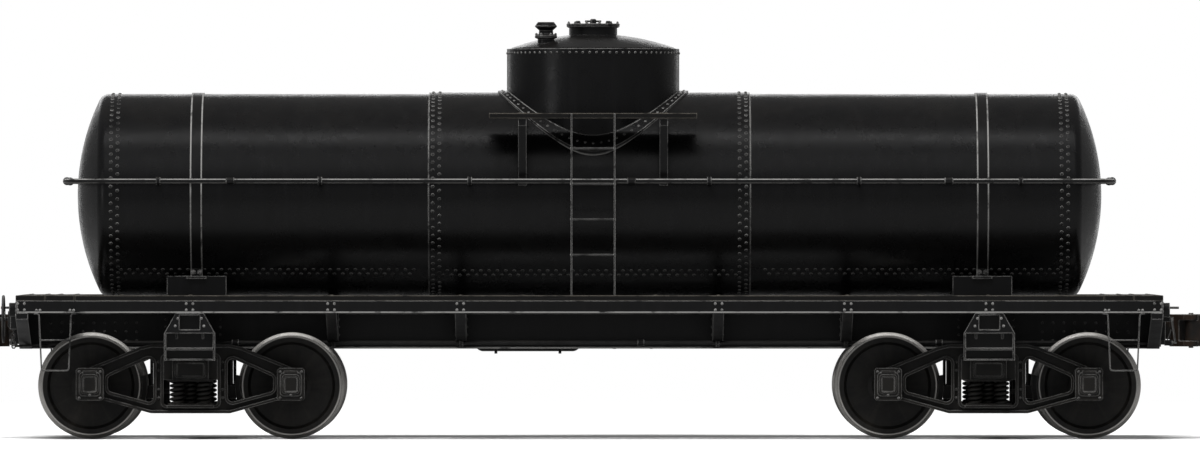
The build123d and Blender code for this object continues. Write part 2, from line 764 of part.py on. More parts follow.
with BuildPart() as handrail_posts:
    for side in (-1, 1):
        for end in (-1, 1):
            for place in post_places:
                with Locations(along_car(end * place, side * handrail_y, handrail_z)):
                    Cylinder(post_eye_radius, post_eye_length)
                with Locations(across_car(end * place, side * (post_end + handrail_y) / 2, handrail_z)):
                    Cylinder(post_radius, handrail_y - post_end)
                with Locations(along_car(end * place, side * handrail_y, handrail_z)):
                    Cylinder(handrail_radius + fit_gap, 2 * post_eye_length, mode=Mode.SUBTRACT)
    with Locations(along_car(0, 0, tank_z)):
        Cylinder(tank_radius + fit_gap, shell_length, mode=Mode.SUBTRACT)
        Cylinder(ring_radius + fit_gap, middle_ring_length + 2 * fit_gap, mode=Mode.SUBTRACT)
    add(end_posts.part)
finish(handrail_posts, "handrail_posts")

# Wooden blocks that carry the running boards on the bolsters
block_length = 120.0
block_width = 380.0
with BuildPart() as board_blocks:
    with Locations((0, 0, (saddle_bottom_z + plank_bottom_z) / 2)):
        with GridLocations(truck_centres, 2 * board_middle_y - 20.0, 2, 2):
            Box(block_length, block_width, plank_bottom_z - saddle_bottom_z)
finish(board_blocks, "board_blocks")

# Sill steps: bent straps under the corners of the side sills, each with a second tread half-way
step_inset = 328.0
step_top_width = 267.0
step_bottom_width = 226.0
step_foot = 42.0
step_strap = 12.0
step_depth = 44.0
step_bend = 22.0
step_bottom_z = 574.0
step_tread_z = 828.0
step_top_z = sill_top_z - step_strap / 2 - fit_gap
step_line = [
    (step_top_width / 2 + step_foot, step_top_z),
    (step_top_width / 2, step_top_z),
    (step_bottom_width / 2, step_bottom_z),
]
step_narrowing = (step_top_width - step_bottom_width) / (step_top_z - step_bottom_z)
step_tread_width = step_bottom_width + (step_tread_z - step_bottom_z) * step_narrowing
with BuildPart() as sill_step:
    with BuildSketch(side_plane(frame_half - step_inset, side_y)):
        with BuildLine():
            FilletPolyline(*both_halves(step_line), radius=step_bend)
        trace(line_width=step_strap)
        with Locations((0, step_tread_z)):
            Rectangle(step_tread_width, step_strap)
    extrude(amount=step_depth)
    mirror(about=Plane.YZ)
finish_pair(sill_step, "sill_steps", Plane.XZ)

# Grab irons: bent rods on the end sills, just under the deck
grab_radius = 8.0
grab_reach = 60.0
grab_inner_y = 470.0
grab_outer_y = 950.0
grab_drop = 35.0
grab_line = [
    (frame_half + fit_gap, grab_inner_y),
    (frame_half + grab_reach, grab_inner_y),
    (frame_half + grab_reach, grab_outer_y),
    (frame_half + fit_gap, grab_outer_y),
]
with BuildPart() as grab_iron:
    with BuildLine(Plane.XY.offset(plank_bottom_z - grab_drop)) as grab_path:
        FilletPolyline(*grab_line, radius=24.0)
    with BuildSketch(Plane(origin=grab_path.line @ 0, z_dir=grab_path.line % 0)):
        Circle(grab_radius)
    sweep()
    mirror(about=Plane.XZ)
finish_pair(grab_iron, "grab_irons", Plane.YZ)

# Brake gear beside the centre sill on the left side, on plates that pass above the brake rods
gear_z = coupler_z
hanger_plate = 12.0
hanger_height = 90.0
hanger_start_y = sill_inside / 2 + sill_web + fit_gap
hanger_z = sill_top_z - sill_flange_thickness - fit_gap - hanger_height / 2


def hangers(places, reach_y):
    """Plates under the centre sill's flange out to reach_y, for the piece that is being made."""
    for place in places:
        with Locations((place, (hanger_start_y + reach_y) / 2, hanger_z)):
            Box(hanger_plate, reach_y - hanger_start_y, hanger_height)


# Air reservoir, strapped to two hangers
reservoir_radius = 180.0
reservoir_length = 900.0
reservoir_round = 75.0
reservoir_x = -520.0
reservoir_y = 520.0
strap_thickness = 20.0
strap_places = (reservoir_x - 0.3 * reservoir_length, reservoir_x + 0.3 * reservoir_length)
with BuildPart() as air_reservoir:
    with Locations(along_car(reservoir_x, reservoir_y, gear_z)):
        Cylinder(reservoir_radius, reservoir_length)
    fillet(air_reservoir.edges().filter_by(GeomType.CIRCLE), reservoir_round)
    for place in strap_places:
        with Locations(along_car(place, reservoir_y, gear_z)):
            Cylinder(reservoir_radius + strap_thickness, 2 * hanger_plate)
    hangers(strap_places, reservoir_y)
finish(air_reservoir, "air_reservoir")

# Brake cylinder: a flanged drum with its push rod, drawn by the distance from its pressure head
cylinder_x = 180.0
cylinder_y = 490.0
push_rod_end = 600.0
cylinder_profile = [
    (0, 0),
    (0, 130.0),
    (18.0, 160.0),
    (40.0, 160.0),
    (40.0, 134.0),
    (330.0, 134.0),
    (330.0, 160.0),
    (352.0, 160.0),
    (372.0, 60.0),
    (520.0, 38.0),
    (520.0, 18.0),
    (push_rod_end, 18.0),
    (push_rod_end, 0),
]
with BuildPart() as brake_cylinder:
    with BuildSketch(side_plane(cylinder_x, cylinder_y, gear_z)):
        Polygon(*cylinder_profile, align=None)
    revolve(axis=Axis((cylinder_x, cylinder_y, gear_z), (1, 0, 0)))
    hangers((cylinder_x + 80.0, cylinder_x + 290.0), cylinder_y)
finish(brake_cylinder, "brake_cylinder")

# Control valve: a pipe bracket on its hanger with a round portion on each side of it
valve_body_x = -1500.0
portion_radius = 85.0
portion_length = 120.0
valve_bracket = (150.0, 190.0, 230.0)
valve_start_y = rod_y + 60.0
portion_y = valve_start_y + 0.55 * valve_bracket[1]
with BuildPart() as control_valve:
    with Locations((valve_body_x, valve_start_y + valve_bracket[1] / 2, gear_z)):
        Box(*valve_bracket)
    with Locations(along_car(valve_body_x, portion_y, gear_z + 10.0)):
        Cylinder(portion_radius, valve_bracket[0] + 2 * portion_length)
        Cylinder(portion_radius + 16.0, valve_bracket[0] + 60.0)
    for end_edges in (control_valve.edges().group_by(Axis.X)[0], control_valve.edges().group_by(Axis.X)[-1]):
        chamfer(end_edges, 14.0)
    hangers((valve_body_x - 40.0, valve_body_x + 40.0), valve_start_y + 20.0)
finish(control_valve, "control_valve")

# Brake levers at both ends of the cylinder, the rod between them and a pull rod towards each truck
brake_rod_radius = 11.0
brake_lever_width = 70.0
brake_lever_thickness = 18.0
lever_outer_y = cylinder_y + 200.0
push_lever_x = cylinder_x + push_rod_end + brake_lever_width / 2 + fit_gap
dead_lever_x = cylinder_x - brake_lever_width
rod_end_x = truck_x - 600.0
jaw_size = (70.0, 40.0, 34.0)
lever_length = lever_outer_y - rod_y + brake_lever_width
with BuildPart() as brake_rods:
    with BuildSketch(Plane.XY.offset(gear_z)):
        for place in (push_lever_x, dead_lever_x):
            with Locations((place, (lever_outer_y + rod_y) / 2)):
                SlotOverall(lever_length, brake_lever_width, rotation=90)
    extrude(amount=brake_lever_thickness / 2, both=True)
    with Locations(along_car((push_lever_x + dead_lever_x) / 2, lever_outer_y, gear_z)):
        Cylinder(brake_rod_radius, push_lever_x - dead_lever_x)
    for lever_x, end_x in ((push_lever_x, rod_end_x), (dead_lever_x, -rod_end_x)):
        with Locations(along_car((lever_x + end_x) / 2, rod_y, gear_z)):
            Cylinder(brake_rod_radius, abs(end_x - lever_x))
        with Locations((end_x, rod_y, gear_z)):
            Box(*jaw_size)
    with Locations((cylinder_x - brake_lever_width / 4 - fit_gap, cylinder_y, gear_z)):
        Box(brake_lever_width / 2, jaw_size[1], jaw_size[2])
finish(brake_rods, "brake_rods")

# Truck side frames: cast beams of I section with the journal boxes and the springs' seats
frame_half_outline = [
    (330.0, side_frame_rise),
    (420.0, side_frame_rise - 20.0),
    (850.0, box_rise),
    (wheelbase / 2 + box_half_length, box_rise - 40.0),
    (wheelbase / 2 + box_half_length, -box_drop + 8.0),
    (720.0, -box_drop),
    (330.0, -side_frame_drop),
]
spring_seat_z = axle_z - spring_seat_drop
window_top = 245.0
side_window = [(310.0, 245.0), (310.0, -144.0), (690.0, -44.0), (690.0, 75.0)]
lid_width = 176.0
lid_height = 196.0
lid_thickness = 12.0
lid_hinge_radius = 13.0
box_middle = (0, (box_inner + box_outer) / 2, axle_z + (box_rise - box_drop) / 2)
with BuildPart() as journal_boxes:
    with Locations((truck_x, 0, 0)):
        with GridLocations(wheelbase, 1, 2, 1):
            with Locations(box_middle):
                Box(2 * box_half_length, box_outer - box_inner, box_rise + box_drop)
    chamfer(journal_boxes.edges().filter_by(Axis.Y), 18.0)
    with BuildSketch(side_plane(truck_x, box_outer, axle_z)):
        with GridLocations(wheelbase, 1, 2, 1):
            with Locations((0, (box_rise - box_drop) / 2)):
                RectangleRounded(lid_width, lid_height, 30.0)
    extrude(amount=-lid_thickness)
    with Locations((truck_x, box_outer + lid_thickness / 2, axle_z + (box_rise - box_drop + lid_height) / 2)):
        with GridLocations(wheelbase, 1, 2, 1):
            with Locations(along_car(0, 0, 0)):
                Cylinder(lid_hinge_radius, lid_width - 60.0)
with BuildPart() as side_frame:
    with BuildSketch(side_plane(truck_x, journal_middle, axle_z)) as frame_face:
        with BuildLine():
            FilletPolyline(*both_halves(frame_half_outline), radius=30.0, close=True)
        make_face()
        for sign in (-1, 1):
            with BuildLine():
                FilletPolyline(*[(sign * x, z) for x, z in side_window], radius=40.0, close=True)
            make_face(mode=Mode.SUBTRACT)
        window_height = window_top + spring_seat_drop
        with Locations((0, window_top - window_height / 2)):
            RectangleRounded(2 * bolster_window_half, window_height, 24.0, mode=Mode.SUBTRACT)
    extrude(amount=side_frame_width / 2, both=True)
    pocket = (side_frame_width - side_frame_web) / 2
    for sign in (-1, 1):
        with BuildSketch(side_plane(truck_x, journal_middle + sign * side_frame_width / 2, axle_z)):
            add(frame_face.sketch_local)
            offset(amount=-side_frame_rim, mode=Mode.REPLACE)
        extrude(amount=sign * pocket, mode=Mode.SUBTRACT)
    with Locations((truck_x, journal_middle, spring_seat_z - seat_thickness / 2)):
        Box(2 * bolster_window_half - 60.0, 2 * spring_radius + spring_pitch_y + 20.0, seat_thickness)
    add(journal_boxes.part)
    bore_length = journal_middle + journal_length / 2 + 2.5 - box_inner
    with Locations((truck_x, 0, 0)):
        with GridLocations(wheelbase, 1, 2, 1):
            with Locations(across_car(0, box_inner + bore_length / 2, axle_z)):
                Cylinder(journal_radius + running_clearance, bore_length, mode=Mode.SUBTRACT)
with BuildPart() as side_frames:
    add(side_frame.part)
    mirror(about=Plane.XZ)
finish_twins(side_frames, ("truck_a_side_frames", "truck_b_side_frames"), Plane.YZ)

# Truck bolsters: deep at the middle under the bowl, with guides between the side frames' columns
bolster_top_z = centre_plate_z - bowl_rim
bolster_end_z = spring_seat_z + spring_height
bolster_belly_z = 430.0
bolster_belly_y = 350.0
bolster_knee_y = journal_middle - spring_pitch_y / 2 - spring_radius - 7.0
bolster_length = 2180.0
guide_width = 150.0
bolster_half = [
    (bolster_length / 2, bolster_top_z),
    (bolster_length / 2, bolster_end_z),
    (bolster_knee_y, bolster_end_z),
    (bolster_belly_y, bolster_belly_z),
]
with BuildPart() as truck_bolster:
    with BuildSketch(Plane.YZ.offset(truck_x)):
        Polygon(*both_halves(bolster_half), align=None)
    extrude(amount=bolster_half_width, both=True)
    for side in (-1, 1):
        with Locations((truck_x, side * journal_middle, (bolster_top_z + bolster_end_z) / 2)):
            Box(2 * (bolster_window_half - fit_gap), guide_width, bolster_top_z - bolster_end_z)
        with BuildSketch(Plane.YZ.offset(truck_x)):
            with Locations((side * 520.0, (bolster_top_z + bolster_belly_z) / 2 + 10.0)):
                SlotOverall(240.0, 90.0)
        extrude(amount=bolster_half_width, both=True, mode=Mode.SUBTRACT)
        with Locations((truck_x, side * side_bearing_y, (bolster_top_z + side_bearing_z) / 2)):
            Box(bearing_pad_length, 60.0, side_bearing_z - bolster_top_z)
    with BuildSketch(Plane.XY.offset(bolster_top_z)):
        with Locations((truck_x, 0)):
            Circle(centre_plate_radius + bowl_gap + bowl_wall)
    extrude(amount=2 * bowl_rim)
    with BuildSketch(Plane.XY.offset(centre_plate_z)):
        with Locations((truck_x, 0)):
            Circle(centre_plate_radius + bowl_gap)
    extrude(amount=bowl_rim, mode=Mode.SUBTRACT)
    with BuildSketch(Plane.XY.offset(centre_plate_z)):
        with Locations((truck_x, 0)):
            Circle(kingpin_radius + running_clearance)
    extrude(amount=kingpin_bottom_z - centre_plate_z - 5.0, mode=Mode.SUBTRACT)
finish_twins(truck_bolster, ("truck_a_bolster", "truck_b_bolster"), Plane.YZ)

# Springs: five in each group, their coils wound closely enough to be drawn as round blocks
with BuildPart() as springs:
    for side in (-1, 1):
        with BuildSketch(Plane.XY.offset(spring_seat_z)):
            with Locations((truck_x, side * journal_middle)):
                Circle(spring_radius)
                with GridLocations(spring_pitch_x, spring_pitch_y, 2, 2):
                    Circle(spring_radius)
        extrude(amount=spring_height)
finish_twins(springs, ("truck_a_springs", "truck_b_springs"), Plane.YZ)

# Brake beams: trusses across the truck with a shoe on each wheel, hung from the side frames
shoe_gap = 8.0
shoe_thickness = 45.0
shoe_width = 85.0
shoe_angle = 18.0
beam_place = 345.0
beam_z = 390.0
beam_depth = 36.0
beam_half = 705.0
strut_place = 205.0
hanger_top_z = 735.0
shoe_hook_radius = 13.0
shoe_inner = tread_radius + shoe_gap
shoe_middle_y = wheel_back + 88.0
with BuildPart() as brakes:
    for end in (-1, 1):
        beam_x = truck_x + end * beam_place
        wheel_x = truck_x + end * wheelbase / 2
        with BuildSketch(Plane.XY.offset(beam_z)):
            apex = truck_x + end * strut_place
            Polygon((beam_x, -beam_half), (beam_x, beam_half), (apex, 30.0), (apex, -30.0), align=None)
            offset(amount=-30.0, mode=Mode.SUBTRACT)
            with Locations((truck_x + end * (beam_place + strut_place) / 2, 0)):
                Rectangle(beam_place - strut_place, 36.0)
        extrude(amount=beam_depth / 2, both=True)
        for side in (-1, 1):
            with BuildSketch(side_plane(wheel_x, side * shoe_middle_y, axle_z)):
                Circle(shoe_inner + shoe_thickness)
                Circle(shoe_inner, mode=Mode.SUBTRACT)
                reach = 2 * shoe_inner
                Polygon(
                    (0, 0),
                    (-end * reach, reach * tan(radians(shoe_angle - 7.0))),
                    (-end * reach, -reach * tan(radians(shoe_angle + 7.0))),
                    align=None,
                    mode=Mode.INTERSECT,
                )
            extrude(amount=shoe_width / 2, both=True)
            with Locations((beam_x - end * 3.0, side * shoe_middle_y, beam_z)):
                Box(66.0, 52.0, 110.0)
            with Locations((beam_x, side * (beam_half + shoe_middle_y) / 2, beam_z)):
                Box(44.0, shoe_middle_y - beam_half + 30.0, beam_depth)
            hook_x = beam_x - end * 14.0
            hook_end = journal_middle - side_frame_web / 2 - fit_gap
            with Locations((hook_x, side * shoe_middle_y, (beam_z + hanger_top_z) / 2)):
                Cylinder(shoe_hook_radius, hanger_top_z - beam_z)
            with Locations(across_car(hook_x, side * (shoe_middle_y + hook_end) / 2, hanger_top_z)):
                Cylinder(shoe_hook_radius, hook_end - shoe_middle_y)
            with Locations((hook_x, side * shoe_middle_y, hanger_top_z)):
                Sphere(shoe_hook_radius)
finish_twins(brakes, ("truck_a_brakes", "truck_b_brakes"), Plane.YZ)

# Wheels: turned steel, each point of the profile by its distance from the flange's back and its radius
hub_back = -16.0
wheel_profile = [
    (0, tread_radius - rim_depth),
    (0, tread_radius + 6.0),
    (8, wheel_radius - 5.0),
    (17, wheel_radius),
    (27, wheel_radius - 7.0),
    (40, tread_radius + 1.5),
    (rim_width, tread_radius - 4.0),
    (rim_width, tread_radius - rim_depth),
    (rim_width - 46, tread_radius - rim_depth - 22.0),
    (rim_width - 60, hub_radius + 40.0),
    (rim_width - 36, hub_radius + 6.0),
    (hub_back + hub_length, hub_radius - 2.0),
    (hub_back + hub_length, wheel_seat_radius + running_clearance),
    (hub_back, wheel_seat_radius + running_clearance),
    (hub_back, hub_radius - 2.0),
    (34, hub_radius + 6.0),
    (rim_width - 60 - plate_thickness, hub_radius + 40.0),
    (rim_width - 46 - plate_thickness, tread_radius - rim_depth - 22.0),
]
dust_guard_y = box_inner - 3.0
journal_end = journal_middle + journal_length / 2
axle_profile = [
    (0, 0),
    (0, axle_waist_radius),
    (420.0, axle_waist_radius),
    (wheel_back + hub_back - 8.0, wheel_seat_radius),
    (dust_guard_y, wheel_seat_radius),
    (dust_guard_y, journal_radius),
    (journal_end, journal_radius),
    (journal_end, 0),
]
# Each wheelset's name and its place along the car
wheelset_places = [
    ("a1", truck_x + wheelbase / 2),
    ("a2", truck_x - wheelbase / 2),
    ("b1", -truck_x - wheelbase / 2),
    ("b2", -truck_x + wheelbase / 2),
]
for name, place in wheelset_places:
    wheel_plane = Plane(origin=(place, 0, axle_z), x_dir=(0, 1, 0), z_dir=(-1, 0, 0))
    axle_line = Axis((place, 0, axle_z), (0, 1, 0))
    with BuildPart() as wheels:
        with BuildSketch(wheel_plane):
            Polygon(*[(wheel_back + y, r) for y, r in wheel_profile], align=None)
        revolve(axis=axle_line)
        mirror(about=Plane.XZ)
    finish(wheels, f"wheels_{name}")
    with BuildPart() as axle:
        with BuildSketch(wheel_plane):
            Polygon(*axle_profile, align=None)
        revolve(axis=axle_line)
        mirror(about=Plane.XZ)
    finish(axle, f"axle_{name}")

# Couplers: the head with the ears that carry the knuckle, and the shank back to its butt in the yoke
coupler_pivot_x = 4330.0
shank_width = 127.0
butt_radius = 70.0
head_height = 270.0
ear_height = 48.0
knuckle_pin = (215.0, -115.0)
knuckle_hub_radius = 48.0
knuckle_clearance = 5.0
knuckle_pin_radius = 20.0
ear_round = 62.0
pulling_face = 280.0
# Outlines seen from above, by the distance from the striker's face and from the car's middle line
head_outline = [
    (40.0, -shank_width / 2),
    (75.0, -95.0),
    (110.0, -118.0),
    (150.0, -70.0),
    (178.0, -40.0),
    (188.0, 40.0),
    (215.0, 95.0),
    (300.0, 122.0),
    (338.0, 148.0),
    (330.0, 184.0),
    (250.0, 196.0),
    (140.0, 165.0),
    (75.0, 95.0),
    (40.0, shank_width / 2),
]
ear_outline = [
    (75.0, -95.0),
    (150.0, -165.0),
    (215.0, -177.0),
    (277.0, -115.0),
    (240.0, -50.0),
    (200.0, -20.0),
    (150.0, -70.0),
    (110.0, -100.0),
]
mouth_outline = [
    (178.0, -40.0),
    (150.0, -70.0),
    (110.0, -118.0),
    (140.0, -190.0),
    (320.0, -190.0),
    (320.0, 0.0),
    (190.0, 0.0),
]
knuckle_outline = [
    (215.0, -163.0),
    (300.0, -150.0),
    (343.0, -112.0),
    (352.0, -60.0),
    (340.0, -16.0),
    (318.0, -2.0),
    (292.0, -6.0),
    (pulling_face, -18.0),
    (pulling_face, -66.0),
    (262.0, -78.0),
    (215.0, -67.0),
]
pin_place = (striker_x + knuckle_pin[0], knuckle_pin[1])
with BuildPart() as coupler:
    with BuildSketch(Plane.XY.offset(coupler_z)):
        Polygon(*[(striker_x + x, y) for x, y in head_outline], align=None)
    extrude(amount=head_height / 2, both=True)
    with BuildSketch(Plane.XY.offset(coupler_z)):
        with Locations(pin_place):
            Circle(ear_round)
        Polygon(*[(striker_x + x, y) for x, y in ear_outline], align=None)
    extrude(amount=head_height / 2, both=True)
    with BuildSketch(Plane.XY.offset(coupler_z)):
        with Locations(pin_place):
            Circle(knuckle_hub_radius + knuckle_clearance)
        Polygon(*[(striker_x + x, y) for x, y in mouth_outline], align=None)
    extrude(amount=head_height / 2 - ear_height, both=True, mode=Mode.SUBTRACT)
    with BuildSketch(Plane.XY.offset(coupler_z)):
        with Locations(pin_place):
            Circle(knuckle_pin_radius)
    extrude(amount=head_height / 2 + 12.0, both=True)
    shank_length = striker_x + 60.0 - coupler_pivot_x
    with Locations((coupler_pivot_x + shank_length / 2, 0, coupler_z)):
        Box(shank_length, shank_width, shank_height)
    with Locations((coupler_pivot_x, 0, coupler_z)):
        Cylinder(butt_radius, shank_height)
finish_turned(coupler, ("coupler_a", "coupler_b"))
with BuildPart() as knuckle:
    with BuildSketch(Plane.XY.offset(coupler_z)):
        Polygon(*[(striker_x + x, y) for x, y in knuckle_outline], align=None)
        with Locations(pin_place):
            Circle(ear_round + knuckle_clearance, mode=Mode.SUBTRACT)
    extrude(amount=head_height / 2 - 10.0, both=True)
    with BuildSketch(Plane.XY.offset(coupler_z)):
        Polygon(*[(striker_x + x, y) for x, y in knuckle_outline], align=None)
        with Locations(pin_place):
            Circle(knuckle_hub_radius)
    extrude(amount=head_height / 2 - ear_height - carrier_gap, both=True)
    with BuildSketch(Plane.XY.offset(coupler_z)):
        with Locations(pin_place):
            Circle(knuckle_pin_radius + running_clearance)
    extrude(amount=head_height / 2, both=True, mode=Mode.SUBTRACT)
finish_turned(knuckle, ("knuckle_a", "knuckle_b"))

# Uncoupling levers: a bent rod across the left half of each end, held by two lugs on the end sill
lever_radius = 10.0
lever_gap = 15.0
lever_high_z = coupler_z + head_height / 2 + 55.0
lever_low_z = coupler_z + 98.0
lug_places = (-1120.0, -420.0)
lever_x = striker_x + lever_gap
lever_line = [
    (lever_x + 100.0, -75.0, lever_high_z),
    (lever_x, -75.0, lever_high_z),
    (lever_x, -230.0, lever_high_z),
    (lever_x, -310.0, lever_low_z),
    (lever_x, -1235.0, lever_low_z),
    (lever_x + 30.0, -1262.0, lever_low_z - 200.0),
]
lug_length = lever_x + lever_radius + 8.0 - frame_half
lug_size = (lug_length - 2 * fit_gap, 14.0, 40.0)
with BuildPart() as lever_lugs:
    for lug_y in lug_places:
        with Locations((frame_half + lug_length / 2, lug_y, lever_low_z)):
            Box(*lug_size)
        with Locations(across_car(lever_x, lug_y, lever_low_z)):
            Cylinder(lever_radius + fit_gap, 2 * lug_size[1], mode=Mode.SUBTRACT)
with BuildPart() as uncoupling_levers:
    with BuildLine() as lever_path:
        FilletPolyline(*lever_line, radius=28.0)
    with BuildSketch(Plane(origin=lever_path.line @ 0, z_dir=lever_path.line % 0)):
        Circle(lever_radius)
    sweep()
    add(lever_lugs.part)
    with Locations(Location((0, 0, 0), (0, 0, 180))):
        add(uncoupling_levers.part)
finish(uncoupling_levers, "uncoupling_levers")

# Handbrake: a spoked wheel on a short shaft in front of a gear case on the B end's sill
handwheel_radius = 190.0
handwheel_rim = 11.0
handwheel_y = -700.0
handwheel_z = 1000.0
handwheel_reach = 125.0
handbrake_shaft_radius = 16.0
gear_case = (85.0, 190.0, 170.0)
spoke_count = 5
wheel_x = -frame_half - handwheel_reach
with BuildPart() as handbrake:
    with Locations((-frame_half - fit_gap - gear_case[0] / 2, handwheel_y, handwheel_z)):
        Box(*gear_case)
    chamfer(handbrake.faces().sort_by(Axis.X)[0].edges(), 22.0)
    with Locations(along_car(-frame_half - gear_case[0] / 2 - handwheel_reach / 2, handwheel_y, handwheel_z)):
        Cylinder(handbrake_shaft_radius, handwheel_reach)
    with Locations(along_car(wheel_x, handwheel_y, handwheel_z)):
        Cylinder(34.0, 30.0)
        Torus(handwheel_radius, handwheel_rim)
    with BuildSketch(Plane.YZ.offset(wheel_x)):
        with Locations((handwheel_y, handwheel_z)):
            with PolarLocations(handwheel_radius / 2, spoke_count, start_angle=90):
                Rectangle(handwheel_radius, 16.0)
    extrude(amount=6.0, both=True)
finish(handbrake, "handbrake")

# Draft gear: the box between the sills and the yoke's straps round the coupler's butt
yoke_thickness = 28.0
gear_length = 560.0
gear_height = 230.0
gear_gap = butt_radius + 12.0
with BuildPart() as draft_gears:
    gear_end = coupler_pivot_x - gear_gap
    with Locations((gear_end - gear_length / 2, 0, coupler_z)):
        Box(gear_length, sill_inside - 2 * fit_gap, gear_height)
    for sign in (-1, 1):
        yoke_z = coupler_z + sign * (shank_height + yoke_thickness + 2 * carrier_gap) / 2
        with Locations((gear_end + 60.0, 0, yoke_z)):
            Box(2 * gear_gap, shank_width, yoke_thickness)
finish_pair(draft_gears, "draft_gears", Plane.YZ)
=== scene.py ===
# %% [markdown]
# # A railway tank car in satin black
# This lesson finishes a tank car whose solid parts come from a CAD model. The CAD parts keep their
# shape and place. Here they get their paint, wood and cast steel, and the small ironwork that a
# drawing leaves out: rivets, bolts, coil springs and the handbrake's chain.
# Everything is in metres. +X runs along the car, +Y is its left side and +Z is up.

# %% Load the CAD model
import json
import math

import bpy
from mathutils import Matrix, Vector


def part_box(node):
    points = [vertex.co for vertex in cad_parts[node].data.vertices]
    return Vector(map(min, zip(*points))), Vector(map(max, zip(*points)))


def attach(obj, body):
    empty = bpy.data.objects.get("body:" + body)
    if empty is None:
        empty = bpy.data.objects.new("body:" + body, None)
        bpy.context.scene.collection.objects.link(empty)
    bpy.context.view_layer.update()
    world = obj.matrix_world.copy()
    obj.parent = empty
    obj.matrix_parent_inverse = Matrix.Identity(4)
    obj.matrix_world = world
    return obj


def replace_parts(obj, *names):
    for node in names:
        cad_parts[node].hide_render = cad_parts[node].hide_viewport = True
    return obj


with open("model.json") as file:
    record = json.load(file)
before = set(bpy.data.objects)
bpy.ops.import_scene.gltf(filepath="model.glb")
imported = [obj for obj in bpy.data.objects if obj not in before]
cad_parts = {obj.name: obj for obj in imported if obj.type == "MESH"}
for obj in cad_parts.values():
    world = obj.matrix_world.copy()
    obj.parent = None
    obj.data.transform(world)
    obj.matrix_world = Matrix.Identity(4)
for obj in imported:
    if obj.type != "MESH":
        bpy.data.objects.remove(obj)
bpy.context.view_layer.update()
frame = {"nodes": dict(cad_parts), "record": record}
nodes = frame["nodes"]


def middle(node):
    """The middle of a CAD node's box."""
    low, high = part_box(node)
    return (low + high) / 2


# %% [markdown]
# ## Camera
# The photograph looks straight at the car's right side. Its scale comes from the trucks' wheelbase:
# 8.361 mm of car to a pixel, on a plane between the wheels and the side sill. A very long lens keeps
# the near and the far side at one scale, as the picture does, and still lets the other views turn
# round the car.

# %% Camera
pixel = 0.008361
picture_width, picture_height = 1200, 459
middle_column, axle_row = 589.5, 385.5
axle_z = middle("axle_a1").z
matched_y = -0.7

camera_data = bpy.data.cameras.new("camera")
camera_data.lens = 500.0
camera_data.sensor_width = 36.0
camera_distance = picture_width * pixel * camera_data.lens / camera_data.sensor_width
camera_data.clip_end = 4 * camera_distance
camera = bpy.data.objects.new("camera", camera_data)
bpy.context.scene.collection.objects.link(camera)
camera_x = (picture_width / 2 - middle_column) * pixel
camera_z = axle_z + (axle_row - picture_height / 2) * pixel
camera.location = (camera_x, matched_y - camera_distance, camera_z)
camera.rotation_euler = (math.radians(90), 0, 0)
bpy.context.scene.camera = camera
print("camera", round(camera_distance, 1), "m away and", round(camera_z, 3), "m up")

# %% [markdown]
# ## Helpers for shader nodes
# A material is a small graph. These helpers add a node and join its sockets. The last of them finds
# the graph from the sockets it is given.

# %% Node helpers
def join(value, socket):
    """Links an output socket to an input socket of the same graph."""
    socket.id_data.links.new(value, socket)


def add_node(tree, kind, inputs=None, **settings):
    """Adds a shader node, sets its properties, and sets or links its inputs by name or number."""
    node = tree.nodes.new("ShaderNode" + kind)
    for name, value in settings.items():
        setattr(node, name, value)
    for name, value in (inputs or {}).items():
        if isinstance(value, bpy.types.NodeSocket):
            join(value, node.inputs[name])
        else:
            node.inputs[name].default_value = value
    return node


def follow(kind, inputs, **settings):
    """Adds a node to the graph that the sockets among its inputs belong to."""
    tree = next(value.id_data for value in inputs.values() if isinstance(value, bpy.types.NodeSocket))
    return add_node(tree, kind, inputs, **settings)


# %% [markdown]
# ## Helpers for values and colours
# A finish is mostly sums with masks. A helper for each kind of sum lets the finishes below read as
# short recipes.

# %% Value and colour helpers
def math_node(operation, first, second=0.0, clamp=False):
    """One sum of two values, kept between 0 and 1 if clamp is true."""
    return follow("Math", {0: first, 1: second}, operation=operation, use_clamp=clamp).outputs[0]


def times(first, second, clamp=False):
    """The product of two values."""
    return math_node("MULTIPLY", first, second, clamp)


def plus(first, second):
    """Two values added."""
    return math_node("ADD", first, second)


def minus(first, second):
    """The second value taken from the first."""
    return math_node("SUBTRACT", first, second)


def spread(value, low, high, new_low=0.0, new_high=1.0):
    """Stretches the range from low to high over new_low to new_high, with soft ends."""
    inputs = {"Value": value, "From Min": low, "From Max": high, "To Min": new_low, "To Max": new_high}
    return follow("MapRange", inputs, interpolation_type="SMOOTHSTEP").outputs["Result"]


def blend(mask, first, second):
    """Mixes two colours by a mask."""
    return follow("Mix", {"Factor": mask, 6: first, 7: second}, data_type="RGBA").outputs[2]


def noise(vector, scale, detail, roughness):
    """Fractal noise of a given scale, about 0.5 in the middle."""
    inputs = {"Vector": vector, "Scale": scale, "Detail": detail, "Roughness": roughness}
    return follow("TexNoise", inputs).outputs["Fac"]


# %% [markdown]
# ## Helpers for places on the surface
# Patterns are laid out in Object coordinates, which are the car's own here, because no piece is
# moved or turned as an object. Some also ask which way the surface faces.

# %% Place helpers
def object_place(tree):
    """Where a point of the surface lies on the car."""
    return add_node(tree, "TexCoord").outputs["Object"]


def true_normal(tree):
    """The way that a point of the surface faces."""
    return add_node(tree, "NewGeometry").outputs["Normal"]


def coordinates(vector):
    """The X, Y and Z of a vector."""
    return follow("SeparateXYZ", {0: vector}).outputs


def vector_node(operation, *vectors):
    """One sum of vectors."""
    return follow("VectorMath", dict(enumerate(vectors)), operation=operation).outputs


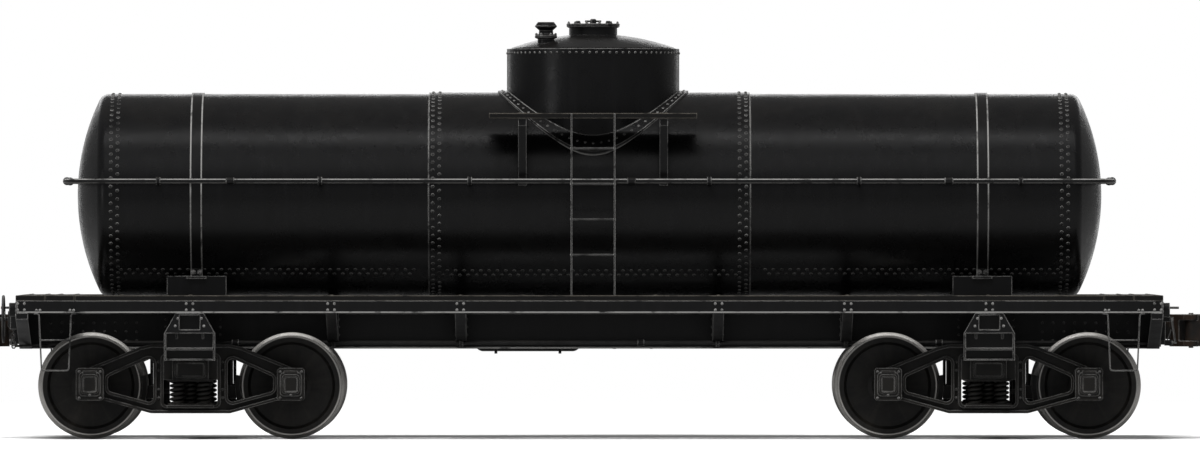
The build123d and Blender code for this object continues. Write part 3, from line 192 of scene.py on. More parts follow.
def mapped(vector, **change):
    """A pattern's coordinates after a Location, a Rotation or a Scale."""
    return follow("Mapping", {"Vector": vector, **change}).outputs["Vector"]


# %% [markdown]
# ## Helpers for groups and materials
# An effect that several finishes share is a node group, built once and placed in each of them with
# its own values. Every finish ends in a colour, a roughness and a relief for its shader.

# %% Group and material helpers
def new_group(name, inputs, outputs):
    """A node group, the sockets that its inputs give and those that its outputs take.

    An input without a value is a vector, and so is the output Normal. All others are numbers."""
    tree = bpy.data.node_groups.new(name, "ShaderNodeTree")
    for label, value in inputs.items():
        kind = "NodeSocketVector" if value is None else "NodeSocketFloat"
        socket = tree.interface.new_socket(label, in_out="INPUT", socket_type=kind)
        if value is not None:
            socket.default_value = value
    for label in outputs:
        kind = "NodeSocketVector" if label == "Normal" else "NodeSocketFloat"
        tree.interface.new_socket(label, in_out="OUTPUT", socket_type=kind)
    print("group", name)
    return tree, tree.nodes.new("NodeGroupInput").outputs, tree.nodes.new("NodeGroupOutput").inputs


def use_group(tree, group, **inputs):
    """Places a node group in a material. An input called width is the socket Width."""
    sockets = {name.title(): value for name, value in inputs.items()}
    return add_node(tree, "Group", sockets, node_tree=group).outputs


def new_material(name):
    """A material made of nodes, its graph and its shader."""
    material = bpy.data.materials.new(name)
    material.use_nodes = True
    print("material", name)
    return material, material.node_tree, material.node_tree.nodes["Principled BSDF"]


def finish_shader(shader, colour, roughness, height, rounded, bump, specular=0.36):
    """Joins a finish to a shader. Bump is the strength and the depth of the relief on a normal."""
    inputs = {"Strength": bump[0], "Distance": bump[1], "Height": height, "Normal": rounded}
    relief = follow("Bump", inputs).outputs[0]
    for label, value in (("Base Color", colour), ("Roughness", roughness), ("Normal", relief)):
        join(value, shader.inputs[label])
    shader.inputs["Specular IOR Level"].default_value = specular


# %% [markdown]
# ## Worn edges
# Paint is thin on an edge and rubs through there first. A Bevel node looks for edges: where its
# rounded normal leaves the true one there is a corner close by, and Corner says how sharp it has to
# be. A second, narrower one makes a knife-sharp CAD edge catch the light as a rolled or sheared edge
# does. The mask could be painted by hand, but a node does it for every part at once.

# %% Worn edges
worn_edges, given, made = new_group(
    "worn_edges",
    {"Width": 0.01, "Round": 0.004, "Corner": 0.003, "Amount": 0.5, "Breakup": 14.0},
    ("Mask", "Normal"),
)
wide = add_node(worn_edges, "Bevel", {"Radius": given["Width"]}, samples=4).outputs[0]
narrow = add_node(worn_edges, "Bevel", {"Radius": given["Round"]}, samples=4).outputs[0]
alike = vector_node("DOT_PRODUCT", wide, true_normal(worn_edges))["Value"]
corner = spread(minus(1.0, alike), given["Corner"], plus(given["Corner"], 0.087))
breakup = spread(noise(object_place(worn_edges), given["Breakup"], 5.0, 0.65), 0.3, 0.54)
rubbed = times(corner, breakup)
join(times(rubbed, given["Amount"], True), made["Mask"])
join(narrow, made["Normal"])

# %% [markdown]
# ## Dust
# Dust settles on what faces up, and is thrown up from the track, so it thickens towards the wheels.
# The mask joins the two, broken up by noise. It could be painted on by hand, but a rule of height
# and direction puts it in the right place on every part at once.

# %% Dust
dust, given, made = new_group("dust", {"Top": 0.3, "Low": 0.4, "Height": 1.1, "Scale": 3.0}, ("Mask",))
place = object_place(dust)
patches = spread(noise(place, given["Scale"], 6.0, 0.6), 0.3, 0.75)
facing_up = spread(coordinates(true_normal(dust))["Z"], 0.35, 1.0)
below = minus(given["Height"], coordinates(place)["Z"])
on_top = times(facing_up, given["Top"])
near_track = times(spread(below, 0.0, 1.1), given["Low"])
settled = plus(on_top, near_track)
join(times(settled, plus(patches, 0.25), True), made["Mask"])

# %% [markdown]
# ## The skin of brushed paint
# Old freight-car paint was brushed or sprayed on hot-rolled plate. It has a fine orange peel, long
# soft waves of the plate below, and faint upright streaks where rain has run. Each is a noise of its
# own size, because no single noise is both fine and long, and the streaks' is drawn out upright.

# %% Paint skin
paint_skin, given, made = new_group(
    "paint_skin", {"Peel": 220.0, "Streaks": 0.5}, ("Height", "Tone", "Gloss")
)
place = object_place(paint_skin)
peel = noise(place, given["Peel"], 2.0, 0.5)
waves = noise(place, 2.3, 2.0, 0.5)
runs = noise(mapped(place, Scale=(9.0, 9.0, 0.55)), 1.6, 6.0, 0.62)
uneven = noise(place, 5.5, 5.0, 0.6)
join(plus(times(waves, 3.0), peel), made["Height"])
join(times(spread(runs, 0.45, 0.75), given["Streaks"]), made["Tone"])
join(spread(uneven, 0.3, 0.7), made["Gloss"])

# %% [markdown]
# ## The skin of cast steel
# A casting shows the sand of its mould: a coarse pebbled surface with a few larger hollows. Grains
# this small would take millions of faces, so they are relief in the shader, and the shape stays.

# %% Cast skin
cast_skin, given, made = new_group("cast_skin", {"Grit": 160.0}, ("Height", "Tone"))
place = object_place(cast_skin)
grit = noise(place, given["Grit"], 3.0, 0.6)
hollows = noise(place, 22.0, 4.0, 0.55)
join(plus(times(hollows, 2.2), grit), made["Height"])
join(spread(noise(place, 7.0, 6.0, 0.65), 0.32, 0.7), made["Tone"])

# %% [markdown]
# ## Wood grain
# A plank's grain is noise drawn out along its length, with finer fibres in it and a few long splits
# where it has dried. The group takes its coordinates from outside, so that the planks of the end
# platforms can turn their grain crosswise.

# %% Wood grain
wood_grain, given, made = new_group("wood_grain", {"Place": None}, ("Height", "Fibre", "Split"))


def along_plank(scale, across, detail, roughness):
    """Noise of one scale along the planks and a finer one across them."""
    drawn = mapped(given["Place"], Scale=(scale, across, across))
    return noise(drawn, 1.0, detail, roughness)


bands = along_plank(1.1, 26.0, 6.0, 0.6)
fibres = along_plank(5.0, 240.0, 3.0, 0.6)
threads = along_plank(2.0, 110.0, 3.0, 0.5)
split = spread(along_plank(0.9, 48.0, 2.0, 0.5), 0.66, 0.70)
relief = plus(times(bands, 2.0), fibres)
fine = spread(threads, 0.38, 0.62, 0.35, 1.0)
join(minus(relief, times(split, 2.0)), made["Height"])
join(times(spread(bands, 0.36, 0.66), fine), made["Fibre"])
join(split, made["Split"])

# %% [markdown]
# ## Rubbed bands and painted highlight lines
# Some wear follows a line on the car and not a sharp corner: along the straps that tie the tank down, and
# along the lowest edge of a sill. The same mask also paints highlights as grey lines along the straps' edges
# and along the handrail's upper and lower shoulders. This group makes a mask of the points that lie within
# half a width of a line, measured on one coordinate. A face that looks along that coordinate is left out, or
# it would be rubbed bare all over.

# %% Rubbed bands and painted highlight lines
rubbed_and_highlight_band, given, made = new_group(
    "rubbed_and_highlight_band",
    {"Along": 0.0, "Facing": 0.0, "Line": 0.0, "Half": 0.006, "Breakup": 7.0},
    ("Mask",),
)
away = math_node("ABSOLUTE", minus(given["Along"], given["Line"]))
inside = math_node("DIVIDE", away, given["Half"])
beside = spread(math_node("ABSOLUTE", given["Facing"]), 0.99, 0.9)
breakup = spread(noise(object_place(rubbed_and_highlight_band), given["Breakup"], 5.0, 0.65), 0.3, 0.5)
on_band = times(spread(inside, 1.1, 0.6), beside)
join(times(on_band, breakup, True), made["Mask"])

# %% [markdown]
# ## Black paint
# The whole car is painted one black: satin on the tank, a little duller on the frame. The recipe is the same,
# so one function makes each of them with its own values. Dust lightens it, rubbed edges show grey primer and
# steel, and grey lines along the sills are rubbed wear, along the straps partly wear and partly painted
# highlight, and along the handrail painted highlight. The paint's skin goes through a Bump node on the
# rounded normal.

# %% Black paint
# The grey of worn-through primer, also used for the painted highlight lines on the straps and the handrail.
GREY_PRIMER_AND_HIGHLIGHT = (0.27, 0.266, 0.258, 1)
TRACK_DUST = (0.075, 0.066, 0.055, 1)


def black_paint(name, black, gloss, edge, dust_share, streaks=0.4, lines=()):
    """A black paint: its colour, its roughness, its wear (width, amount, breakup) and dust (top, low).

    Lines are the rubbed bands and the painted highlight lines: an axis, whether both its ends count, the line
    and half the width."""
    material, tree, shader = new_material(name)
    width, amount, breakup = edge
    wear = use_group(tree, worn_edges, width=width, amount=amount, breakup=breakup)
    dirt = use_group(tree, dust, top=dust_share[0], low=dust_share[1])["Mask"]
    skin = use_group(tree, paint_skin, streaks=streaks)
    rubbed = wear["Mask"]
    if lines:
        places = coordinates(object_place(tree))
        ways = coordinates(true_normal(tree))
    # Each line adds this grey along it: rubbed wear on the sills, painted highlight on the handrail, and both
    # on the straps.
    for axis, both_ends, line, half in lines:
        along = math_node("ABSOLUTE", places[axis]) if both_ends else places[axis]
        wear_and_highlight_line = use_group(tree, rubbed_and_highlight_band, along=along, facing=ways[axis], line=line, half=half)["Mask"]
        rubbed = math_node("MAXIMUM", rubbed, times(wear_and_highlight_line, amount))
    rained = blend(skin["Tone"], black, [1.7 * c + 0.002 for c in black[:3]] + [1])
    dusty = blend(dirt, rained, TRACK_DUST)
    colour = blend(rubbed, dusty, GREY_PRIMER_AND_HIGHLIGHT)
    clean = spread(skin["Gloss"], 0.0, 1.0, gloss - 0.02, gloss + 0.05)
    worn = plus(times(rubbed, 0.2), clean)
    dulled = plus(times(dirt, 0.3), worn)
    finish_shader(shader, colour, dulled, skin["Height"], wear["Normal"], (0.2, 0.002))
    return material

# %% [markdown]
# ## The blacks of the car
# What hands and boots touch is rubbed more than the rest. The sills also have lines of wear, the straps have
# lines that are partly wear and partly painted highlight, and the handrail has painted highlight lines along
# its upper and lower shoulders, the upper one partly rubbed by hands. Their places are measured on the CAD
# parts.

# %% The blacks
BLACK_IRON = (0.0045, 0.0045, 0.0048, 1)
band_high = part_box("tank_bands")[1]
band_width = 0.102
sill_low, sill_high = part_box("side_sills")
centre_low, centre_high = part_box("centre_sill")
rail_z, rail_high = middle("handrail").z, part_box("handrail")[1]
# The straps' edge lines are partly rubbed wear and partly painted highlight.
band_wear_and_highlight_lines = [("X", True, band_high.x - inset, 0.007) for inset in (0.006, band_width - 0.006)]
sill_lines = [("Z", False, sill_low.z + 0.004, 0.010), ("Z", False, centre_low.z + 0.005, 0.010)]
# The handrail's lines are painted highlights along its upper and lower shoulders, the upper one partly rubbed
# by hands.
rail_highlight_lines = [("Z", False, rail_z + 0.0145, 0.0045), ("Z", False, rail_z - 0.016, 0.004)]

tank_black = black_paint("tank_black", (0.0035, 0.0035, 0.0038, 1), 0.27, (0.014, 1.1, 7.0), (0.05, 0.0))
band_black = black_paint(
    "band_black", (0.004, 0.004, 0.0042, 1), 0.3, (0.005, 0.9, 6.0), (0.05, 0.0), lines=band_wear_and_highlight_lines
)
frame_black = black_paint("frame_black", BLACK_IRON, 0.36, (0.012, 1.2, 8.0), (0.14, 0.10))
sill_black = black_paint("sill_black", BLACK_IRON, 0.36, (0.010, 1.1, 6.0), (0.10, 0.06), lines=sill_lines)
fitting_black = black_paint("fitting_black", BLACK_IRON, 0.32, (0.008, 1.2, 16.0), (0.08, 0.0))
handled_black = black_paint(
    "handled_black", (0.012, 0.012, 0.012, 1), 0.4, (0.010, 1.7, 7.0), (0.10, 0.0), 0.8
)
rail_black = black_paint(
    "rail_black", (0.006, 0.006, 0.0062, 1), 0.3, (0.008, 0.95, 5.0), (0.1, 0.0), 0.8, rail_highlight_lines
)

# %% [markdown]
# ## Painted planks
# The running boards are planks under black paint, walked on until the grain shows and the wood
# looks through along the edges. The grain decides where paint goes first, because hard fibres stand
# proud, and a wide noise keeps the wear to where boots fall.

# %% Painted planks
PLANK_BLACK = (0.0065, 0.0062, 0.006, 1)
GREY_WOOD = (0.13, 0.118, 0.10, 1)


def painted_plank(name, turn):
    """Planks whose grain runs along the car, or is turned by an angle."""
    material, tree, shader = new_material(name)
    place = object_place(tree)
    grain = use_group(tree, wood_grain, place=mapped(place, Rotation=(0, 0, math.radians(turn))))
    wear = use_group(tree, worn_edges, width=0.012, amount=0.95, breakup=7.0)
    dirt = use_group(tree, dust, top=0.22, low=0.0, scale=2.2)["Mask"]
    up = spread(coordinates(true_normal(tree))["Z"], 0.5, 0.9)
    steps = noise(mapped(place, Scale=(0.9, 2.5, 1.0)), 1.3, 4.0, 0.6)
    walked = spread(steps, 0.4, 0.68, 0.08, 0.5)
    trodden = times(times(grain["Fibre"], walked), up)
    rubbed = math_node("MAXIMUM", trodden, wear["Mask"])
    whole = minus(1.0, grain["Split"])
    wood = blend(times(rubbed, whole), PLANK_BLACK, GREY_WOOD)
    colour = blend(dirt, wood, TRACK_DUST)
    roughness = spread(grain["Fibre"], 0.0, 1.0, 0.5, 0.72)
    finish_shader(shader, colour, roughness, grain["Height"], wear["Normal"], (0.6, 0.003), 0.3)
    return material


plank_lengthwise = painted_plank("plank_lengthwise", 0)
plank_crosswise = painted_plank("plank_crosswise", 90)

# %% [markdown]
# ## Cast steel
# The truck frames, bolsters and couplers are castings. They were painted once, and brake dust and
# oil have since made them a dull brown black. The couplers' faces rub and rust a little. One
# function serves them all, and mixes two colours of iron in patches.

# %% Cast steel
OILY_IRON = (0.006, 0.0058, 0.0056, 1)
BARE_IRON = (0.008, 0.0075, 0.007, 1)
AXLE_IRON = (0.010, 0.009, 0.008, 1)
RUST = (0.05, 0.027, 0.016, 1)
SOOT = (0.018, 0.016, 0.0135, 1)


def cast_steel(name, iron, tint, gloss, edge, dust_share, grit=160.0, soft=0.006, corner=0.003):
    """A casting: its colour, the colour that patches it, its roughness, wear and dust.

    Soft is how far its corners are rounded, and corner how sharp one must be to rub bare."""
    material, tree, shader = new_material(name)
    width, amount, breakup = edge
    wear = use_group(tree, worn_edges, width=width, round=soft, corner=corner, amount=amount, breakup=breakup)
    dirt = use_group(tree, dust, top=dust_share[0], low=dust_share[1], scale=4.5)["Mask"]
    skin = use_group(tree, cast_skin, grit=grit)
    patched = blend(times(skin["Tone"], 0.5), iron, tint)
    dusty = blend(dirt, patched, TRACK_DUST)
    colour = blend(wear["Mask"], dusty, GREY_PRIMER_AND_HIGHLIGHT)
    roughness = spread(skin["Tone"], 0.0, 1.0, gloss - 0.06, gloss + 0.12)
    finish_shader(shader, colour, roughness, skin["Height"], wear["Normal"], (0.5, 0.003))
    return material


truck_iron = cast_steel("truck_iron", OILY_IRON, SOOT, 0.5, (0.010, 0.75, 9.0), (0.2, 0.1))
coupler_iron = cast_steel(
    "coupler_iron", BARE_IRON, RUST, 0.5, (0.012, 0.8, 14.0), (0.12, 0.1), soft=0.018, corner=0.04
)
spring_iron = cast_steel("spring_iron", BARE_IRON, SOOT, 0.45, (0.003, 0.3, 25.0), (0.2, 0.12), 260.0)
axle_iron = cast_steel("axle_iron", AXLE_IRON, RUST, 0.45, (0.006, 0.4, 12.0), (0.15, 0.15), 90.0)

# %% [markdown]
# ## Wheels
# A wheel is oily black iron with a tread that the rail keeps bright. How far a point lies from the
# axle decides which it is, so each wheelset's material measures from its own axle. The iron is
# pebbled like the other castings, and the tread has only fine lines that run round it.

# %% Wheels
TREAD_STEEL = (0.66, 0.64, 0.61, 1)
tread_radius = 0.4191


def wheel_steel(name, axle_x):
    """Wheel iron for the wheelset whose axle is at axle_x, with a bright tread."""
    material, tree, shader = new_material(name)
    place = object_place(tree)
    centred = mapped(place, Location=(-axle_x, 0, -axle_z))
    flat = mapped(centred, Scale=(1, 0, 1))
    radius = vector_node("LENGTH", flat)["Value"]
    turned = vector_node("NORMALIZE", flat)["Vector"]
    on_tread = spread(radius, tread_radius - 0.020, tread_radius - 0.012)
    join(times(on_tread, 0.4), shader.inputs["Metallic"])

    skin = use_group(tree, cast_skin, grit=140.0)
    rings = noise(add_node(tree, "CombineXYZ", {0: radius}).outputs[0], 60.0, 3.0, 0.5)
    splash = spread(noise(turned, 3.5, 4.0, 0.6), 0.4, 0.7, 0.0, 0.3)
    oily = blend(skin["Tone"], OILY_IRON, SOOT)
    soiled = blend(times(splash, rings), oily, TRACK_DUST)
    colour = blend(on_tread, soiled, TREAD_STEEL)

    across = noise(mapped(place, Scale=(0, 420, 0)), 1.0, 3.0, 0.6)
    polish = spread(on_tread, 0.0, 1.0, 0.5, 0.2)
    roughness = plus(polish, times(across, 0.16))
    pebbles = times(skin["Height"], minus(1.0, on_tread))
    lines = times(times(across, on_tread), 0.12)
    rounded = use_group(tree, worn_edges, round=0.006, amount=0.0)["Normal"]
    finish_shader(shader, colour, roughness, plus(pebbles, lines), rounded, (0.3, 0.002), 0.5)
    return material


wheel_steels = {}
for wheelset in ("a1", "a2", "b1", "b2"):
    wheel_steels["wheels_" + wheelset] = wheel_steel("wheel_steel_" + wheelset, middle("axle_" + wheelset).x)

# %% [markdown]
# ## Painting the CAD parts
# Each CAD node names its slot in the record. A table turns slots into finishes, and the nodes whose
# grain, axle or wear differs are set by name. It could be done one node at a time, but a table shows
# at a glance what is painted with what.

# %% Painting the CAD parts
finishes = {
    "tank_paint": tank_black,
    "frame_paint": frame_black,
    "fittings_paint": fitting_black,
    "boards": plank_lengthwise,
    "truck_casting": truck_iron,
    "wheel_steel": truck_iron,
    "axle_steel": axle_iron,
    "spring_steel": spring_iron,
    "coupler_casting": coupler_iron,
}
handled = ("ladders", "ladder_rungs", "grab_irons", "sill_steps", "uncoupling_levers", "handbrake")
by_name = {
    "tank_bands": band_black,
    "handrail": rail_black,
    **dict.fromkeys(("end_platforms", "board_blocks"), plank_crosswise),
    **dict.fromkeys(("side_sills", "centre_sill"), sill_black),
    **dict.fromkeys(handled, handled_black),
    **wheel_steels,
}
subparts = frame["record"]["subparts"]
for part in subparts:
    piece = nodes[part["node"]]
    piece.data.materials.clear()
    piece.data.materials.append(by_name.get(part["node"], finishes[part["material_slot"]]))
print("painted", len(subparts), "CAD nodes,", len(by_name), "of them by name")

# %% [markdown]
# ## Tools for small ironwork
# A riveted car has well over a thousand rivets and bolts. Each kind is modelled once, with a few
# dozen faces, at the origin and standing on the ground plane. It starts as a primitive, and is noted
# as a pattern, so that it can be put away at the end.

# %% Starting a pattern
patterns = []


def clear_selection():
    """Deselects everything, because an operator acts on all that is selected."""
    bpy.ops.object.select_all(action="DESELECT")


def start(name, add_primitive, **settings):
    """Adds a primitive with nothing else selected, applies its place, and notes it as a pattern."""
    clear_selection()
    add_primitive(**settings)
    piece = bpy.context.object
    piece.name = name
    bpy.ops.object.transform_apply(location=True, rotation=True, scale=True)
    patterns.append(piece)
    return piece


def cylinder(name, sides, radius, length, foot=0.0):
    """A cylinder that stands on the ground plane, or with its foot above it."""
    centre = (0, 0, foot + length / 2)
    settings = {"vertices": sides, "radius": radius, "depth": length, "location": centre}
    return start(name, bpy.ops.mesh.primitive_cylinder_add, **settings)


# %% [markdown]
# ## Shaping in edit mode
# Modelling is done in edit mode, where an operator acts on what is selected. By hand the faces would
# be clicked. Here a test picks them by their middle and the way they face.

# %% Edit mode helpers
def edit_faces(piece, chosen=lambda centre, normal: True):
    """Enters edit mode with the faces selected whose centre and normal pass the test, or all."""
    bpy.ops.object.mode_set(mode="OBJECT")
    bpy.context.view_layer.objects.active = piece
    bpy.context.tool_settings.mesh_select_mode = (False, False, True)
    for part in (piece.data.vertices, piece.data.edges):
        part.foreach_set("select", [False] * len(part))
    for face in piece.data.polygons:
        face.select = chosen(face.center, face.normal)
    bpy.ops.object.mode_set(mode="EDIT")


def looks_up(centre, normal):
    """True of a face at the top of a piece."""
    return normal.z > 0.9


def at_either_end(centre, normal):
    """True of the faces that close a cylinder."""
    return abs(normal.z) > 0.9


def leave_edit(piece, smooth=None):
    """Turns the normals outwards, leaves edit mode, and smooths the edges below an angle."""
    bpy.ops.mesh.select_all(action="SELECT")
    bpy.ops.mesh.normals_make_consistent(inside=False)
    bpy.ops.object.mode_set(mode="OBJECT")
    if smooth:
        piece.select_set(True)
        bpy.ops.object.shade_smooth_by_angle(angle=math.radians(smooth))
    return piece

# %% [markdown]
# ## Many copies of one pattern
# Every copy gets its own mesh, turned outwards, and a field of copies is joined into one piece. An
# array modifier could make straight rows, but not rows that bend round a dome, so a list of places,
# each a point and a direction, is used for all of them. Most lists are written for one quarter of
# the car and mirrored.

# %% Copying and placing
UP = (0, 0, 1)
frame_finish = (frame_black, "car_body", "frame_paint")
tank_finish = (tank_black, "car_body", "tank_paint")
fitting_finish = (fitting_black, "car_body", "fittings_paint")


def dress(piece, finish=frame_finish, count=1):
    """Gives a finished piece its material and body. The slot in its finish is not used."""
    material, body, slot = finish
    piece.data.materials.clear()
    piece.data.materials.append(material)
    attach(piece, body)
    print(piece.name, count, "copies," if count > 1 else "piece,", len(piece.data.polygons), "faces")
    return piece


def join_copies(name, pattern, places, finish=frame_finish):
    """Copies a pattern to each place, joins the copies and dresses the new piece."""
    clear_selection()
    for point, outward in places:
        copy = bpy.data.objects.new(name, pattern.data.copy())
        turn = Vector(outward).to_track_quat("Z", "Y").to_matrix().to_4x4()
        copy.data.transform(Matrix.Translation(Vector(point)) @ turn)
        bpy.context.scene.collection.objects.link(copy)
        copy.select_set(True)
    bpy.context.view_layer.objects.active = copy
    bpy.ops.object.join()
    piece = bpy.context.object
    piece.name = name
    return dress(piece, finish, len(places))


def mirrored(places, centre_x=0.0):
    """Repeats places at both ends and on both sides of a middle. One in the middle counts once."""
    copies = []
    for end in (-1, 1):
        for side in (-1, 1):
            for (x, y, z), (way_x, way_y, way_z) in places:
                copies.append(((centre_x + end * x, side * y, z), (end * way_x, side * way_y, way_z)))
    return list(dict.fromkeys(copies))


def ring(count, first=0.0):
    """Cosine and sine of evenly spaced directions round a circle."""
    turns = [math.tau * (k + first) / count for k in range(count)]
    return [(math.cos(turn), math.sin(turn)) for turn in turns]


print("a place in one quarter gives", len(mirrored([((1, 1, 0), UP)])), "copies")

# %% [markdown]
# ## A rivet head
# A button head is the top of a ball, a little flattened. It starts as a coarse sphere, is cut
# through its middle, and the cut is closed so that the head is a solid like the others.

# %% A rivet head
def button_head(name, radius, flatness):
    """The head of a rivet or a carriage bolt, standing on the ground plane."""
    head = start(name, bpy.ops.mesh.primitive_uv_sphere_add, segments=10, ring_count=6, radius=radius)
    edit_faces(head)
    bpy.ops.mesh.bisect(plane_co=(0, 0, 0.0001), plane_no=UP, use_fill=True, clear_inner=True)
    bpy.ops.mesh.select_all(action="SELECT")
    bpy.ops.transform.resize(value=(1, 1, flatness), center_override=(0, 0, 0))
    return leave_edit(head, 60)


rivet = button_head("rivet", 0.0155, 0.62)
small_rivet = button_head("small_rivet", 0.011, 0.6)
low_rivet = button_head("low_rivet", 0.0125, 0.2)
plank_bolt = button_head("plank_bolt", 0.017, 0.3)
print("rivet head", len(rivet.data.polygons), "faces")

# %% [markdown]
# ## A nut on a bolt
# The hexagon comes from a six-sided cylinder. Its top is inset and drawn up to make the end of the
# bolt, and the lowest faces are drawn out sideways into a washer. The thread is inside the nut, where
# nobody sees it, so none is cut.

# %% A nut on a bolt
def draw_out(x, y, z):
    """Draws what is selected out of a mesh, in a straight line."""
    bpy.ops.mesh.extrude_region_move(TRANSFORM_OT_translate={"value": (x, y, z)})


def nut(name, radius, height, washer=0.0035):
    """A hexagonal nut with its washer and the end of its bolt."""
    piece = cylinder(name, 6, radius, height)
    edit_faces(piece, looks_up)
    bpy.ops.mesh.inset(thickness=radius * 0.16, depth=radius * 0.08)
    bpy.ops.mesh.inset(thickness=radius * 0.2)
    draw_out(0, 0, height * 0.45)
    edit_faces(piece, lambda centre, normal: normal.z < -0.9)
    draw_out(0, 0, 0.003 - washer)
    bpy.ops.transform.resize(value=(1.3, 1.3, 1.0))
    draw_out(0, 0, -0.003)
    leave_edit(piece)
    piece.data.transform(Matrix.Translation((0, 0, washer)))
    return piece


large_nut = nut("large_nut", 0.019, 0.016)
small_nut = nut("small_nut", 0.0105, 0.010)
print("nut", len(large_nut.data.polygons), "faces")

# %% [markdown]
# ## Rivets of the tank
# The tank is three rings of plate, each lapped on the next with a double row of rivets, and its heads
# are set into the end rings. The seams along the car lie low on the sides, above the bottom sheet.
# They stop short of the rows that run round, and pass under the straps.

# %% Rivets of the tank
tank_low, tank_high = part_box("tank")
tank_z, tank_plate = middle("tank").z, 0.0127
ring_radius = (tank_high.z - tank_low.z) / 2
end_radius = ring_radius - tank_plate
ring_end, shell_end, band_x = 1.345, 4.035, band_high.x - band_width / 2
rivet_pitch, row_gap, seam_gap = 0.07, 0.055, 0.11
seam_angle = math.radians(47)


def round_tank(x, radius, first):
    """Places round the tank at x, a pitch apart."""
    count = round(math.tau * radius / rivet_pitch)
    return [((x, radius * c, tank_z + radius * s), (0, c, s)) for c, s in ring(count, first)]


tank_places = []
for end in (-1, 1):
    for inset, first in ((0.035, 0.0), (0.035 + row_gap, 0.5)):
        tank_places += round_tank(end * (ring_end - inset), ring_radius, first)
        tank_places += round_tank(end * (shell_end - inset), end_radius, first)

seam_places = []
for row in (0, 1):
    for k in range(57):
        x = (k + 0.5 * row) * rivet_pitch
        clear_of_rows = abs(x - ring_end) > seam_gap and x < shell_end - seam_gap
        if clear_of_rows and abs(x - band_x) > band_width / 2 + 0.015:
            radius = ring_radius if x < ring_end else end_radius
            turn = seam_angle + row_gap * row / radius
            c, s = math.cos(turn), math.sin(turn)
            seam_places.append(((x, radius * c, tank_z - radius * s), (0, c, -s)))
join_copies("tank_rivets", rivet, tank_places + mirrored(seam_places), tank_finish)

# %% [markdown]
# ## Rivets of the dome
# The dome's foot is riveted to the tank all round, so that row rides up and down over the tank's
# back. Another holds the head in the shell's top edge, and an upright seam closes the shell. Each
# head's height is worked out from the tank's circle, so that it sits flat on the plate.

# %% Rivets of the dome
dome_top, dome_x, dome_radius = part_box("dome")[1].z, middle("dome").x, 0.7239
foot_radius, foot_reach = ring_radius + 0.0162, dome_radius + 0.040


def on_dome(c, s, z):
    """A place on the dome's shell, in a direction from its axis."""
    return (dome_x + dome_radius * c, dome_radius * s, z), (c, s, 0)


dome_places = []
for c, s in ring(72):
    y = foot_reach * s
    rise = math.sqrt(foot_radius**2 - y**2)
    outward = (0, y / foot_radius, rise / foot_radius)
    dome_places.append(((dome_x + foot_reach * c, y, tank_z + rise), outward))
dome_places += [on_dome(c, s, dome_top - 0.036) for c, s in ring(80, 0.5)]
for way, first in ((-1, 0.0), (1, 0.5)):
    turn = math.radians(90) + way * 0.03 / dome_radius
    heights = [dome_top - 0.09 - (k + first) * 0.06 for k in range(5)]
    dome_places += [on_dome(math.cos(turn), math.sin(turn), z) for z in heights]
join_copies("dome_rivets", small_rivet, dome_places, tank_finish)

# %% [markdown]
# ## Bolts of the dome
# The manway's cover is held by nuts round its rim, which lift with it, and the heads of their bolts
# stay below the neck's flange. The safety valve stands on a ring of nuts of its own. All three are
# rings of places, worked out from an angle, which keeps nuts and bolts in line.

# %% Bolts of the dome
cover_x, cover_radius, flange_z = middle("manway_neck").x, 0.212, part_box("manway_neck")[1].z
rim = [(cover_x + cover_radius * c, cover_radius * s) for c, s in ring(12, 0.5)]
cover_nuts = [((x, y, flange_z + 0.016), UP) for x, y in rim]
cover_heads = [((x, y, flange_z - 0.012), (0, 0, -1)) for x, y in rim]
join_copies("manway_nuts", small_nut, cover_nuts, (fitting_black, "manway_cover", "fittings_paint"))
join_copies("manway_bolt_heads", small_rivet, cover_heads, fitting_finish)

valve, valve_radius = middle("safety_valve"), 0.078
valve_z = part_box("safety_valve")[1].z - 0.110
valve_nuts = [
    ((valve.x + valve_radius * c, valve.y + valve_radius * s, valve_z), (0.3 * c, 0.3 * s, 1))
    for c, s in ring(6)
]
join_copies("valve_nuts", small_nut, valve_nuts, fitting_finish)

# %% [markdown]
# ## Bolts of the bands, posts and ladders
# Each tank band ends in two bolts through its foot. Every handrail post is screwed into the shell
# behind a nut, and the ladders' rungs are riveted over outside the stiles. Every nut is turned to the
# slope of the plate below it, or one edge would stand off.

# %% Bolts of the bands, posts and ladders
post_nuts, post_rise = [], rail_z - tank_z
for x, radius in ((1.0, ring_radius), (2.25, end_radius), (3.6, end_radius)):
    reach = math.sqrt(radius**2 - post_rise**2)
    post_nuts.append(((x, reach, rail_z), (0, reach, post_rise)))
join_copies("post_nuts", large_nut, mirrored(post_nuts), tank_finish)

band_foot_y, band_foot_z = 0.5965, 1.392
band_nuts = [((band_x + offset, band_foot_y, band_foot_z), (0, 1, -0.15)) for offset in (-0.028, 0.028)]
join_copies("band_nuts", large_nut, mirrored(band_nuts), tank_finish)

ladder_low, ladder_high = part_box("ladders")
platform_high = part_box("dome_platforms")[1]
rung_x, rung_y, rung_pitch = (ladder_high.x - ladder_low.x) / 2, ladder_high.y - 0.025, 0.296
rung_ends = [((rung_x, rung_y, platform_high.z - rung * rung_pitch), (1, 0, 0)) for rung in range(1, 5)]
rung_finish = (handled_black, "car_body", "frame_paint")
join_copies("rung_rivets", small_rivet, mirrored(rung_ends, dome_x), rung_finish)

# %% [markdown]
# ## Bolts of the boards
# Carriage bolts hold the planks to the frame below: two in each plank at every bearer, with their
# round heads worn smooth by boots. The dome platforms are bolted to their brackets. The places come
# from the planks' pitch and the bearers below, so that none falls in a gap between planks.

